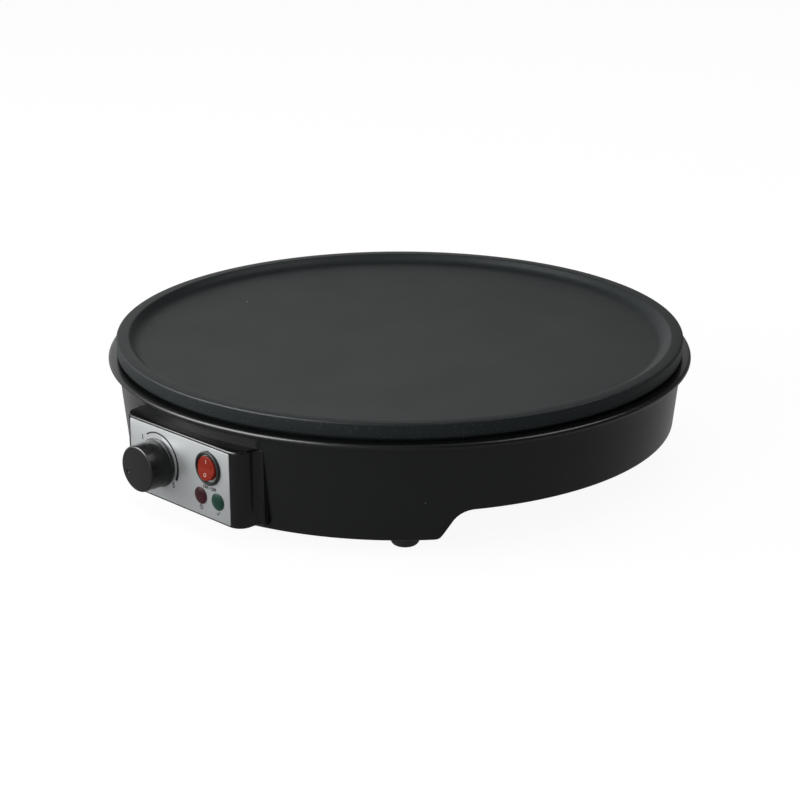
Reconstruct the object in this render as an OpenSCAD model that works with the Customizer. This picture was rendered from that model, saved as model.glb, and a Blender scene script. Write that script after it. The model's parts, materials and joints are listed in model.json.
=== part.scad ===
// Electric crepe maker: a cast round plate on a moulded housing with a front control box.
// Millimetres, +Z up. The origin is on the table, below the plate's centre.
// The control panel faces -Y, the cord entry faces +Y.

/* [Cooking plate] */
// Diameter of the cast plate
plate_d = 300; // [296:1:304]
// Height of the plate's rim above the table
plate_top = 68; // [67:0.5:70]
// Width of the flat rim round the cooking surface
rim_w = 6.5; // [5:0.5:8]
// Depth of the cooking surface below the rim
recess_depth = 4; // [2:0.5:4.5]
// Height of the plate's visible outer edge
edge_h = 7.6; // [7:0.2:8.4]

/* [Housing] */
// How far the lip stands out beyond the plate's edge
lip_out = 4.4; // [3:0.2:6]
// Thickness of the lip
lip_t = 3; // [2.4:0.2:3.4]
// Air gap between the plate's edge and the lip
heat_gap = 1.6; // [1:0.2:2.4]
// Radius of the skirt just below the lip
skirt_top_r = 149.7; // [149:0.1:150.5]
// Radius of the skirt at its lowest edge
skirt_low_r = 145; // [144:0.5:146]
// Moulded wall thickness
wall = 2.5; // [2:0.1:3]
// Height of the skirt's low edge above the table
skirt_low = 7; // [6:0.5:8]
// Height of the raised edge at the two hand grips
grip_edge = 21.8; // [20:0.2:22.4]
// Height of the floor's underside
floor_low = 24; // [23.5:0.5:25]

/* [Control box] */
// Width of the control box
box_w = 86.4; // [84:0.4:90]
// Distance of the box's front face from the plate's axis
box_front = 154.6; // [154:0.2:157]
// Underside of the control box
box_low = 9.7; // [9:0.1:10.4]
// Top of the control box
box_high = 49.2; // [48.8:0.1:50]
// Radius of the box's upright front corners
box_corner = 7.6; // [6:0.2:9]
// Width of the control panel
panel_w = 73.6; // [70:0.4:76]
// Height of the control panel
panel_h = 36.8; // [36:0.2:37.2]

/* [Controls] */
// Sideways place of the knob
knob_x = -15.6; // [-18:0.2:-14]
// Height of the knob's axis
knob_z = 29.8; // [29:0.2:31]
// Diameter of the knob at its foot
knob_d = 23.9; // [22:0.1:25]
// Length of the knob
knob_len = 13.2; // [12:0.2:15]
// Clock position of the pointer at rest, counted anticlockwise from three o'clock
pointer_at = 202; // [190:1:225]
// Sideways place of the switch
switch_x = 21.6; // [20:0.2:23]
// Height of the switch's axis
switch_z = 36.9; // [36:0.1:37.5]
// Diameter of the switch's bezel
bezel_d = 17.8; // [17:0.1:19]
// Full travel of the rocker in degrees
rocker_travel = 14; // [10:1:16]
// Distance of each lamp from the switch's centre line
lamp_dx = 6.2; // [5.6:0.1:6.6]
// Height of the lamps
lamp_z = 21.2; // [20:0.1:22]
// Diameter of a lamp lens
lamp_d = 8.7; // [8:0.1:9.4]

/* [Feet] */
// Distance of each foot from the plate's axis
foot_circle_r = 132; // [130:0.5:133]
// Diameter of a foot where it meets the housing
foot_d = 16.4; // [15:0.2:18]

/* [Hidden] */
$fn = 96;

eps = 0.01;
plate_r = plate_d / 2;
plate_low = plate_top - edge_h;
cook_z = plate_top - recess_depth;
rim_in = plate_r - rim_w;
lip_top = plate_low - heat_gap;
lip_low = lip_top - lip_t;
lip_r = plate_r + lip_out;
floor_t = 2.5;
floor_top = floor_low + floor_t;
rib_low = grip_edge + 0.5;
panel_y = -box_front - 0.2;
box_inner_y = -box_front + 2.2;
panel_mid_z = (box_low + box_high) / 2;

// Plate mounting: four posts clear of the feet, the grips and the control bay.
post_r = 120;
post_angles = [25, 155, 205, 335];
post_top = 34;
reflector_z = 44;
reflector_t = 0.8;
reflector_hole_r = 26;
boss_low = 54;

// Tubular heating element, clamped in a groove under the plate.
element_ring_r = 92;
element_tube_r = 3.75;
groove_top = plate_low - 1;
element_z = groove_top - element_tube_r;
land_low = plate_low - 4;
element_gap_half = 12;
clamp_angles = [-20, 60, 120, 200];
clamp_hole = 9;
pin_len = 9;
tail_bend = 8;
tail_len = 3;

// Control bay behind the box, inside the skirt.
bay_half = 43;
bay_rear_y = -110;
bay_floor = box_low + 2.2;
window_half = 34.6;
window_low = 13;
window_high = 46;
box_screw_x = 38.2;
box_screw_z = [17.5, 42];
box_screw_seat_y = -136.5;

// Central service opening and its cover.
cover_r = 106;
service_r = 96;
cover_t = 1.2;
cover_screw_r = 101;
cover_screw_count = 6;

// Rocker pivot, inside the bezel.
bezel_bore_r = 6.95;
rocker_y = panel_y + 1.3;
seesaw_y = panel_y + 8.6;

// Rear cord entry.
gland_z = 38;
gland_bore_r = 4;
gland_pad_y = 149.4;

// Thermostat stack: ceramic rings with the blades held between them.
stack_x = knob_x + 17;
stack_y = box_inner_y + 1.5;
blade_t = 0.4;
ring_h = [8.6, 2.4, 4, 3];
blade_0_y = stack_y + ring_h[0];
blade_1_y = blade_0_y + blade_t + ring_h[1];
blade_2_y = blade_1_y + blade_t + ring_h[2];
blade_y = [blade_0_y, blade_1_y, blade_2_y];

// Supply side, behind the service opening. The earth tag hangs under the reflector.
block_x = 34;
block_y = 108;
earth_x = 62;
earth_y = 84;
earth_tag_low = 38;
clamp_y = 118;
clamp_screw_x = 9.5;

// Wires run above the floor and below the reflector, between the terminals.
wire_z = floor_top + 5;
block_wire_z = floor_top + 6;
block_wire_y = block_y - 6.5;
tab_end_y = panel_y + 21.9;
tab_gap = 4.2;
pin_tab_h = 6;
pin_end_z = element_z - tail_bend - tail_len - pin_len - 5;
pin_end_x = element_ring_r * sin(element_gap_half) - tail_bend * cos(element_gap_half);
pin_end_y = -element_ring_r * cos(element_gap_half) - tail_bend * sin(element_gap_half);
pin_wire_z = pin_end_z + pin_tab_h / 2;
fuse_z = plate_low - 3 - 2.2;
fuse_lead_x = 17;

function skirt_r(z) = skirt_low_r + (skirt_top_r - skirt_low_r) * (z - skirt_low) / (lip_low - skirt_low);
function at(r, a, z) = [r * cos(a), r * sin(a), z];

// ---- Shared shapes ----

// The web between a corner and an arc: added to fill a corner, taken away to round one.
module corner_web(corner, from_angle, to_angle, radius) {
    half = (to_angle - from_angle) / 2;
    mid = (to_angle + from_angle) / 2;
    run = radius / tan(half);
    centre = corner + radius / sin(half) * [cos(mid), sin(mid)];
    difference() {
        polygon([
            corner,
            corner + run * [cos(from_angle), sin(from_angle)],
            centre,
            corner + run * [cos(to_angle), sin(to_angle)]
        ]);
        translate(centre) circle(r = radius);
    }
}

// A point on the smooth curve through a route, at a share of the way along stretch i.
function curve_at(route, i, share) =
    let (
        last = len(route) - 1,
        a = route[max(i - 1, 0)],
        b = route[i],
        c = route[i + 1],
        d = route[min(i + 2, last)],
        leave = (c - a) / 2,
        arrive = (d - b) / 2,
        turn = 3 * (c - b) - 2 * leave - arrive,
        settle = 2 * (b - c) + leave + arrive
    )
    b + leave * share + turn * share ^ 2 + settle * share ^ 3;

function unit(v) = v / norm(v);

// The sideways direction of each ring: the last one, made square to the new course.
function carry(courses, i, side) =
    i >= len(courses) ? [] :
    let (next = unit(side - (side * courses[i]) * courses[i]))
    concat([next], carry(courses, i + 1, next));

// A lead: a round tube swept along a smooth curve through a few route points.
module wire(route, r = 1.1, sides = 10, steps = 5) {
    stretches = len(route) - 1;
    path = concat(
        [for (i = [0:stretches - 1], k = [0:steps - 1]) curve_at(route, i, k / steps)],
        [route[stretches]]
    );
    last = len(path) - 1;
    courses = concat(
        [unit(route[1] - route[0])],
        [for (i = [1:last - 1]) unit(path[i + 1] - path[i - 1])],
        [unit(route[stretches] - route[stretches - 1])]
    );
    start = unit(cross(courses[0], [0.3, 0.5, 0.8]));
    across = carry(courses, 0, start);
    rings = [
        for (i = [0:last], k = [0:sides - 1])
            path[i] + r * (cos(360 * k / sides) * across[i]
                + sin(360 * k / sides) * cross(courses[i], across[i]))
    ];
    walls = [
        for (i = [0:last - 1], k = [0:sides - 1], half = [0, 1])
            let (
                a = i * sides + k,
                b = i * sides + (k + 1) % sides,
                c = b + sides,
                d = a + sides
            )
            half == 0 ? [a, d, c] : [a, c, b]
    ];
    near_cap = [for (k = [1:sides - 2]) [0, k, k + 1]];
    far_cap = [for (k = [1:sides - 2]) [last * sides, last * sides + k + 1, last * sides + k]];
    polyhedron(points = rings, faces = concat(walls, near_cap, far_cap));
}

// Lies along -Y: the given height runs towards the front.
module to_front(x, y, z) {
    translate([x, y, z]) rotate([90, 0, 0]) children();
}

// A pan head screw along +Z, its head below z = 0.
module pan_screw(d, len, head_d, head_h) {
    translate([0, 0, -head_h]) {
        cylinder(h = len + head_h, d = d);
        cylinder(h = head_h, d = head_d);
    }
}

// ---- Plate and heater ----

module plate_profile() {
    wall_foot = rim_in - recess_depth;
    difference() {
        union() {
            difference() {
                translate([0, plate_low]) square([plate_r, edge_h]);
                polygon([
                    [-1, cook_z], [wall_foot, cook_z], [rim_in, plate_top],
                    [rim_in, plate_top + 1], [-1, plate_top + 1]
                ]);
            }
            corner_web([wall_foot, cook_z], 45, 180, 6);
            // Locating ring that drops inside the housing's lip.
            translate([plate_r - 7, plate_low - 4]) square([3, 4 + eps]);
            // Land that carries the heating element.
            translate([element_ring_r - 14, land_low]) square([28, plate_low - land_low + eps]);
        }
        corner_web([rim_in, plate_top], 225, 360, 1.2);
        corner_web([plate_r, plate_top], 180, 270, 1);
        corner_web([plate_r, plate_low], 90, 180, 0.8);
        translate([element_ring_r - element_tube_r - 0.2, land_low - 1])
            square([2 * element_tube_r + 0.4, groove_top - land_low + 1]);
    }
}

module griddle_plate() {
    color("#34383a")
    difference() {
        union() {
            rotate_extrude() plate_profile();
            for (a = post_angles)
                translate(at(post_r, a, boss_low)) cylinder(h = plate_low - boss_low + eps, d = 16);
            // Stiffening ribs from the land out to the locating ring.
            for (i = [0:11])
                rotate([0, 0, 10 + i * 30])
                    translate([element_ring_r + 13, -1.5, plate_low - 3])
                        cube([plate_r - 6 - element_ring_r - 13, 3, 3 + eps]);
            // Centre boss for the thermal fuse.
            translate([0, 0, plate_low - 3]) cylinder(h = 3 + eps, d = 40);
        }
        for (a = post_angles)
            translate(at(post_r, a, boss_low - 1)) cylinder(h = 8, d = 4.4);
        for (a = clamp_angles, s = [-1, 1])
            rotate([0, 0, a]) translate([element_ring_r + s * clamp_hole, 0, land_low - 1])
                cylinder(h = 4, d = 3);
        translate([0, 14, plate_low - 4]) cylinder(h = 5, d = 3);
        translate([0, -14, plate_low - 4]) cylinder(h = 5, d = 3);
    }
}

// The heater is a ring with a gap at the front and two tails that bend down into it.
module heating_element() {
    arc = 360 - 2 * element_gap_half;
    color("#8c8a86") {
        rotate([0, 0, -90 + element_gap_half])
            translate([0, 0, element_z])
                rotate_extrude(angle = arc)
                    translate([element_ring_r, 0]) circle(r = element_tube_r);
        for (s = [-1, 1])
            rotate([0, 0, -90 + s * element_gap_half])
                translate([element_ring_r, 0, element_z - tail_bend]) {
                    rotate([90, 0, 90]) rotate([0, 0, s > 0 ? 90 : 0])
                        rotate_extrude(angle = 90)
                            translate([tail_bend, 0]) circle(r = element_tube_r);
                    translate([0, -s * tail_bend, -tail_len]) cylinder(h = tail_len, r = element_tube_r);
                }
    }
}

// Places its children at the lower end of each tail.
module tail_ends() {
    for (s = [-1, 1])
        rotate([0, 0, -90 + s * element_gap_half])
            translate([element_ring_r, -s * tail_bend, element_z - tail_bend - tail_len]) children();
}

module element_pins() {
    color("#c9c9c4")
    tail_ends() {
        translate([0, 0, -pin_len]) cylinder(h = pin_len, d = 2.4);
        translate([-0.4, -2.4, -pin_len - 5]) cube([0.8, 4.8, pin_tab_h]);
    }
}

module element_beads() {
    color("#ece6d8")
    tail_ends() translate([0, 0, -4])
        difference() {
            cylinder(h = 4, d = 6.4);
            translate([0, 0, -1]) cylinder(h = 6, d = 2.4);
        }
}

// Bridge-shaped steel straps that press the element up into its groove.
module element_clamps() {
    t = 1.2;
    inner = element_tube_r + 0.4;
    bottom = element_z - element_tube_r;
    color("#b9bcbd")
    for (a = clamp_angles)
        rotate([0, 0, a]) difference() {
            translate([element_ring_r, 5, 0]) rotate([90, 0, 0]) linear_extrude(10)
                polygon([
                    [-13, land_low], [-inner, land_low], [-inner, bottom], [inner, bottom],
                    [inner, land_low], [13, land_low], [13, land_low - t], [inner + t, land_low - t],
                    [inner + t, bottom - t], [-inner - t, bottom - t], [-inner - t, land_low - t],
                    [-13, land_low - t]
                ]);
            for (s = [-1, 1])
                translate([element_ring_r + s * clamp_hole, 0, land_low - 3]) cylinder(h = 4, d = 3.4);
        }
}

module clamp_screws() {
    color("#8f9294")
    for (a = clamp_angles, s = [-1, 1])
        rotate([0, 0, a])
            translate([element_ring_r + s * clamp_hole, 0, land_low - 1.2])
                pan_screw(3, 3.8, 5.4, 1.8);
}

// Thin bright dish that throws the heat back up.
module heat_reflector() {
    dish_r = 131;
    color("#cfd2d3")
    difference() {
        union() {
            translate([0, 0, reflector_z]) cylinder(h = reflector_t, r = dish_r);
            translate([0, 0, reflector_z]) difference() {
                cylinder(h = 6, r = dish_r);
                translate([0, 0, -1]) cylinder(h = 8, r = dish_r - reflector_t);
            }
        }
        for (a = post_angles) translate(at(post_r, a, reflector_z - 1)) cylinder(h = 3, d = 5.4);
        tail_ends() translate([0, 0, -6]) cylinder(h = 12, d = 11);
        translate([0, 0, reflector_z - 1]) cylinder(h = 3, r = reflector_hole_r);
        translate([earth_x, earth_y, reflector_z - 1]) cylinder(h = 3, d = 4.2);
    }
}

module tube_spacer(h, outer_d) {
    difference() {
        cylinder(h = h, d = outer_d);
        translate([0, 0, -1]) cylinder(h = h + 2, d = 5.4);
    }
}

module spacers_upper() {
    color("#ece6d8")
    for (a = post_angles)
        translate(at(post_r, a, reflector_z + reflector_t))
            tube_spacer(boss_low - reflector_z - reflector_t, 12);
}

module spacers_lower() {
    color("#ece6d8")
    for (a = post_angles)
        translate(at(post_r, a, post_top)) tube_spacer(reflector_z - post_top, 12);
}

module plate_screws() {
    color("#8f9294")
    for (a = post_angles)
        translate(at(post_r, a, floor_low + 1.5)) pan_screw(4.4, 35, 8.6, 3);
}

module thermal_fuse() {
    color("#c8b48a")
    translate([-7, 0, fuse_z]) rotate([0, 90, 0]) cylinder(h = 14, r = 2.2);
    color("#c9c9c4")
    translate([-fuse_lead_x, 0, fuse_z]) rotate([0, 90, 0]) cylinder(h = 2 * fuse_lead_x, r = 0.6);
}

module fuse_strap() {
    low = plate_low - 3;
    color("#b9bcbd")
    difference() {
        translate([-3, 0, 0]) rotate([90, 0, 90]) linear_extrude(6)
            polygon([
                [-18, low], [-2.4, low], [-2.4, low - 4.6], [2.4, low - 4.6], [2.4, low],
                [18, low], [18, low - 0.8], [3.2, low - 0.8], [3.2, low - 5.4],
                [-3.2, low - 5.4], [-3.2, low - 0.8], [-18, low - 0.8]
            ]);
        for (s = [-1, 1]) translate([0, s * 14, low - 2]) cylinder(h = 3, d = 3.2);
    }
}

// ---- Housing ----

// Lip and skirt in section. The lip's edge is a full round.
module skirt_profile() {
    edge_r = lip_t / 2;
    translate([lip_r - edge_r, lip_top - edge_r]) circle(r = edge_r);
    polygon([
        [skirt_low_r - wall, skirt_low], [skirt_low_r, skirt_low], [skirt_top_r, lip_low],
        [lip_r - edge_r, lip_low], [lip_r - edge_r, lip_top], [skirt_top_r - wall, lip_top],
        [skirt_top_r - wall, lip_low]
    ]);
}

// The raised hand grip in side view: sloped flanks, round shoulders and soft lower corners.
module grip_outline() {
    flank = 62;
    shoulder = 10;
    toe = 2.5;
    foot_y = 90.4;
    shoulder_y = foot_y - (grip_edge - skirt_low) / tan(flank);
    difference() {
        polygon([
            [-foot_y, skirt_low], [-shoulder_y, grip_edge], [shoulder_y, grip_edge],
            [foot_y, skirt_low], [foot_y, skirt_low - 3], [-foot_y, skirt_low - 3]
        ]);
        for (m = [0, 1])
            mirror([m, 0]) corner_web([shoulder_y, grip_edge], 180, 360 - flank, shoulder);
    }
    for (m = [0, 1]) mirror([m, 0]) corner_web([foot_y, skirt_low], 0, 180 - flank, toe);
}

module foot_places() {
    for (x = [-1, 1], y = [-1, 1])
        translate([x * foot_circle_r * cos(45), y * foot_circle_r * sin(45), 0]) children();
}

// Everything that lies inside the skirt's outer face.
module inside_skirt() {
    translate([0, 0, skirt_low])
        cylinder(h = lip_low - skirt_low, r1 = skirt_low_r - eps, r2 = skirt_top_r - eps);
}

module bay_outer() {
    intersection() {
        translate([-bay_half - wall, -160, box_low])
            cube([2 * bay_half + 2 * wall, 160 + bay_rear_y + wall, floor_top - box_low]);
        inside_skirt();
    }
}

module housing_ribs() {
    for (i = [0:15])
        rotate([0, 0, 11.25 + i * 22.5])
            translate([cover_r + 2, -0.8, rib_low])
                cube([skirt_r(floor_low) - wall - cover_r - 1.4, 1.6, floor_low - rib_low + eps]);
}

module housing() {
    color("#1d1e20")
    difference() {
        union() {
            difference() {
                union() {
                    rotate_extrude() skirt_profile();
                    translate([0, 0, floor_low])
                        cylinder(h = floor_t, r = skirt_r(floor_low) - wall + 0.4);
                }
                rotate([90, 0, 90]) translate([0, 0, -200]) linear_extrude(400) grip_outline();
            }
            bay_outer();
            foot_places() translate([0, 0, 8.4]) cylinder(h = floor_low - 8.4 + eps, d = 20);
            for (a = post_angles)
                translate(at(post_r, a, floor_top - eps)) cylinder(h = post_top - floor_top + eps, d = 14);
            housing_ribs();
            // Seats for the control box's screws, inside the skirt.
            intersection() {
                for (x = [-box_screw_x, box_screw_x], z = box_screw_z)
                    to_front(x, box_screw_seat_y, z) cylinder(h = 12, d = 8);
                inside_skirt();
            }
            // Flat pad for the cord entry at the rear.
            translate([0, gland_pad_y, gland_z]) rotate([90, 0, 0]) cylinder(h = 7, d = 22);
        }
        // Service opening and control bay.
        translate([0, 0, floor_low - 1]) cylinder(h = floor_t + 2, r = service_r);
        translate([-bay_half, bay_rear_y - 60, bay_floor])
            difference() {
                cube([2 * bay_half, 60, 30]);
                translate([-1, -1, 0]) cube([bay_half - window_half + 1, 33, 31]);
                translate([bay_half + window_half, -1, 0]) cube([bay_half - window_half + 1, 33, 31]);
            }
        translate([-window_half, -160, window_low]) cube([2 * window_half, 40, window_high - window_low]);
        // Screw holes.
        foot_places() translate([0, 0, 7]) cylinder(h = 12, d = 6);
        for (a = post_angles) {
            translate(at(post_r, a, floor_low - 1)) cylinder(h = post_top, d = 4.8);
            translate(at(post_r, a, floor_low - 1)) cylinder(h = 2.5, d = 9.4);
        }
        for (i = [0:cover_screw_count - 1])
            translate(at(cover_screw_r, 30 + i * 60, floor_low - 1)) cylinder(h = 3, d = 2.8);
        for (x = [-box_screw_x, box_screw_x], z = box_screw_z)
            to_front(x, box_screw_seat_y + 1, z) cylinder(h = 14, d = 3.2);
        translate([0, gland_pad_y + 1, gland_z]) rotate([90, 0, 0]) cylinder(h = 14, d = 12);
    }
}

// Pressed steel cover with three rings of vent slots.
module bottom_cover() {
    color("#2a2b2d")
    difference() {
        translate([0, 0, floor_low - cover_t]) cylinder(h = cover_t, r = cover_r);
        for (i = [0:cover_screw_count - 1])
            translate(at(cover_screw_r, 30 + i * 60, floor_low - 3)) cylinder(h = 4, d = 3.4);
        for (ring = [1:3], i = [0:5])
            rotate([0, 0, i * 60 + ring * 20])
                translate([0, 0, floor_low - 3])
                    rotate_extrude(angle = 34) translate([20 + ring * 18, 0]) square([4, 6]);
    }
}

module cover_screws() {
    color("#8f9294")
    for (i = [0:cover_screw_count - 1])
        translate(at(cover_screw_r, 30 + i * 60, floor_low - cover_t)) pan_screw(2.8, 3.1, 5.6, 1.6);
}

// Push-in rubber foot with a stem.
module foot() {
    tread = 3;
    tread_r = 3.9;
    color("#17181a") {
        rotate_extrude() {
            translate([tread_r, tread]) circle(r = tread);
            polygon([
                [0, 0], [tread_r, 0], [tread_r + tread, tread], [foot_d / 2, 8.4], [0, 8.4]
            ]);
        }
        translate([0, 0, 8.4 - eps]) cylinder(h = 9, d = 6);
    }
}

module foot_at(x, y) {
    d = foot_circle_r * cos(45);
    translate([x * d, y * d, 0]) foot();
}

module foot_front_left() { foot_at(-1, -1); }
module foot_front_right() { foot_at(1, -1); }
module foot_rear_left() { foot_at(-1, 1); }
module foot_rear_right() { foot_at(1, 1); }

// ---- Control box ----

// Plan of the control box: round front corners and hollow curves back into the skirt.
module box_plan() {
    half = box_w / 2;
    hollow_r = 4;
    hollow_w = 0.69 * hollow_r;
    meet_y = -sqrt(skirt_r(box_high) ^ 2 - (half + hollow_w) ^ 2);
    hollow_y = meet_y - 0.95 * hollow_r;
    back_y = meet_y + 8;
    difference() {
        translate([-half, -box_front]) square([box_w, box_front + back_y]);
        for (m = [0, 1]) mirror([m, 0]) corner_web([half, -box_front], 90, 180, box_corner);
    }
    for (m = [0, 1]) mirror([m, 0])
        difference() {
            translate([half - eps, hollow_y]) square([hollow_w + eps, back_y - hollow_y]);
            translate([half + hollow_r, hollow_y]) circle(r = hollow_r);
        }
}

// Front edges of the box, rounded as seen from the side and from the front.
module box_side_view() {
    soft = 1.2;
    difference() {
        translate([-box_front, box_low]) square([60, box_high - box_low]);
        corner_web([-box_front, box_high], 270, 360, soft);
        corner_web([-box_front, box_low], 0, 90, soft);
    }
}

module control_box() {
    color("#1f2022")
    difference() {
        intersection() {
            translate([0, 0, box_low]) linear_extrude(box_high - box_low) box_plan();
            rotate([90, 0, 90]) translate([0, 0, -60]) linear_extrude(120) box_side_view();
        }
        difference() {
            translate([-41, box_inner_y, bay_floor]) cube([82, 40, box_high - 2.2 - bay_floor]);
            for (x = [-box_screw_x, box_screw_x], z = box_screw_z)
                to_front(x, -130, z) cylinder(h = 24, d = 7);
        }
        translate([0, 0, skirt_low]) cylinder(h = lip_low - skirt_low, r1 = skirt_low_r, r2 = skirt_top_r);
        for (x = [-box_screw_x, box_screw_x], z = box_screw_z)
            to_front(x, -130, z) cylinder(h = 21.5, d = 2.6);
        // Shallow recess for the panel and the holes behind it.
        translate([-panel_w / 2, -box_front - 1, panel_mid_z - panel_h / 2]) cube([panel_w, 1.6, panel_h]);
        panel_holes();
    }
}

module box_screws() {
    color("#8f9294")
    for (x = [-box_screw_x, box_screw_x], z = box_screw_z)
        to_front(x, box_screw_seat_y, z) pan_screw(2.6, 13, 5.6, 2);
}

module panel_holes() {
    to_front(knob_x, -145, knob_z) cylinder(h = 20, d = 10);
    to_front(switch_x, -145, switch_z) cylinder(h = 20, d = 15.6);
    for (s = [-1, 1]) to_front(switch_x + s * lamp_dx, -145, lamp_z) cylinder(h = 20, d = 7.8);
}

// Thin silver panel let into the front of the box.
module control_panel() {
    color("#b4b7b9")
    difference() {
        translate([-panel_w / 2 + 0.05, panel_y, panel_mid_z - panel_h / 2 + 0.05])
            cube([panel_w - 0.1, 0.8, panel_h - 0.1]);
        panel_holes();
    }
}

// ---- Thermostat ----

module knob_profile() {
    face_r = knob_d / 2 - 0.65;
    difference() {
        polygon([
            [0, 0], [knob_d / 2, 0], [knob_d / 2, 0.8], [knob_d / 2 - 0.15, 1.1],
            [face_r, knob_len], [0, knob_len]
        ]);
        corner_web([face_r, knob_len], 180, 273, 1.1);
    }
}

module thermostat_knob() {
    color("#2c2d2f")
    to_front(knob_x, panel_y - 0.5, knob_z)
        difference() {
            rotate_extrude() knob_profile();
            translate([0, 0, -1]) cylinder(h = 4, d = 17);
            difference() {
                translate([0, 0, 2]) cylinder(h = 8.2, d = 6);
                translate([-3, 2.2, 4]) cube([6, 2, 7]);
            }
            // Small pointer dimple near the edge of the face.
            rotate([0, 0, pointer_at]) translate([7.6, 0, knob_len - 0.5]) cylinder(h = 1, d = 1.7);
        }
}

module thermostat_spindle() {
    color("#b9bcbd")
    to_front(knob_x, panel_y + 12.6, knob_z)
        difference() {
            cylinder(h = 23.2, d = 6);
            translate([-4, 2.2, 17.1]) cube([8, 3, 7]);
        }
}

module thermostat_bushing() {
    color("#c5a35a")
    to_front(knob_x, box_inner_y + 4.5, knob_z)
        difference() {
            union() {
                cylinder(h = 3, d = 14);
                cylinder(h = 9.1, d = 9.9);
            }
            translate([0, 0, -1]) cylinder(h = 12, d = 6.1);
        }
}

module thermostat_nut() {
    color("#c5a35a")
    to_front(knob_x, panel_y, knob_z)
        difference() {
            cylinder(h = 1.8, d = 14, $fn = 6);
            translate([0, 0, -1]) cylinder(h = 4, d = 9.9);
        }
}

module thermostat_frame() {
    color("#b9bcbd")
    difference() {
        translate([knob_x - 11, box_inner_y, knob_z - 8]) cube([35, 1.5, 16]);
        to_front(knob_x, stack_y + 1, knob_z) cylinder(h = 4, d = 9.9);
        to_front(stack_x, stack_y + 1, knob_z) cylinder(h = 4, d = 3);
    }
}

// One ring of the stack that holds the blades apart.
module stack_ring(y, h) {
    translate([stack_x, y, knob_z]) rotate([-90, 0, 0])
        difference() {
            cylinder(h = h, d = 9);
            translate([0, 0, -1]) cylinder(h = h + 2, d = 3);
        }
}

module thermostat_ceramics() {
    color("#ece6d8") {
        stack_ring(stack_y, ring_h[0]);
        stack_ring(blade_y[0] + blade_t, ring_h[1]);
        stack_ring(blade_y[1] + blade_t, ring_h[2]);
        stack_ring(blade_y[2] + blade_t, ring_h[3]);
    }
}

module thermostat_rivet() {
    stack_len = blade_y[2] + blade_t + ring_h[3] - box_inner_y;
    color("#c5a35a")
    translate([stack_x, box_inner_y, knob_z]) rotate([-90, 0, 0]) {
        cylinder(h = stack_len + 1, d = 3);
        translate([0, 0, stack_len]) cylinder(h = 1.4, d = 5.6);
    }
}

// A blade: a strip from the stack across to the spindle, with a tag at one end.
module blade(y, reach, width) {
    difference() {
        translate([stack_x - reach, y, knob_z - width / 2]) cube([reach + 4, blade_t, width]);
        translate([stack_x, y - 1, knob_z]) rotate([-90, 0, 0]) cylinder(h = 3, d = 3);
    }
}

module contact_blades() {
    color("#c08a4a") {
        blade(blade_y[0], 13, 6);
        translate([stack_x - 2.4, blade_y[0], knob_z - 9]) cube([4.8, blade_t, 6.2]);
        blade(blade_y[1], 22, 5);
        translate([stack_x - 2.4, blade_y[1], knob_z + 2.4]) cube([4.8, blade_t, 6]);
    }
}

module contact_tips() {
    color("#d9dadb")
    translate([stack_x - 11, blade_y[0] + blade_t, knob_z]) rotate([-90, 0, 0])
        cylinder(h = ring_h[1], d = 3.2);
}

module bimetal_strip() {
    color("#a39a88")
    blade(blade_y[2], 24, 7);
}

// ---- Switch ----

// Round body with a bezel, open at the front for the rocker.
module switch_body() {
    color("#191a1b")
    to_front(switch_x, panel_y, switch_z)
        difference() {
            union() {
                rotate_extrude() difference() {
                    square([bezel_d / 2, 2]);
                    corner_web([bezel_d / 2, 2], 180, 270, 0.9);
                }
                translate([0, 0, -14]) cylinder(h = 14 + eps, d = 15.4);
            }
            translate([0, 0, -10.5]) cylinder(h = 13, r = bezel_bore_r);
            translate([-7.5, 0, -1.3]) rotate([0, 90, 0]) cylinder(h = 15, r = 0.95);
            for (z = [-tab_gap, 0, tab_gap])
                translate([-1.2, z - 0.4, -15]) cube([2.4, 0.8, 6]);
        }
}

// Rocker with two faces that meet in a shallow valley, shown with its upper half pressed in.
module switch_rocker() {
    half_travel = rocker_travel / 2;
    face_y = 2.2;
    rocker_r = 6.2;
    rise = rocker_r * tan(half_travel);
    color("#c4281c")
    translate([switch_x, rocker_y, switch_z]) rotate([-half_travel, 0, 0]) {
        intersection() {
            rotate([90, 0, 0]) translate([0, 0, -2.2]) cylinder(h = 8, r = rocker_r);
            rotate([90, 0, 90]) translate([0, 0, -8]) linear_extrude(16)
                polygon([
                    [1.8, -7], [1.8, 7], [-face_y - 1.3 - rise, 7], [-face_y - 1.3 - rise, rocker_r],
                    [-face_y - 1.3, 0], [-face_y - 1.3 - rise, -rocker_r], [-face_y - 1.3 - rise, -7]
                ]);
        }
        translate([-7.3, 0, 0]) rotate([0, 90, 0]) cylinder(h = 14.6, r = 0.9);
        rotate([-90, 0, 0]) cylinder(h = 5.2, r = 1.3);
    }
}

// The inner contact that rocks the other way.
module switch_seesaw() {
    tilt = 5;
    color("#c08a4a")
    translate([switch_x, seesaw_y, switch_z]) rotate([tilt, 0, 0]) {
        translate([-1.5, -0.4, -4.6]) cube([3, 0.8, 9.2]);
        translate([-1.5, 0, 0]) rotate([0, 90, 0]) cylinder(h = 3, r = 0.6);
    }
}

module switch_terminals() {
    color("#c9c9c4")
    for (z = [-tab_gap, 0, tab_gap])
        translate([switch_x - 1.2, panel_y + 10.9, switch_z + z - 0.4]) cube([2.4, 11, 0.8]);
}

// ---- Indicator lamps ----

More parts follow.
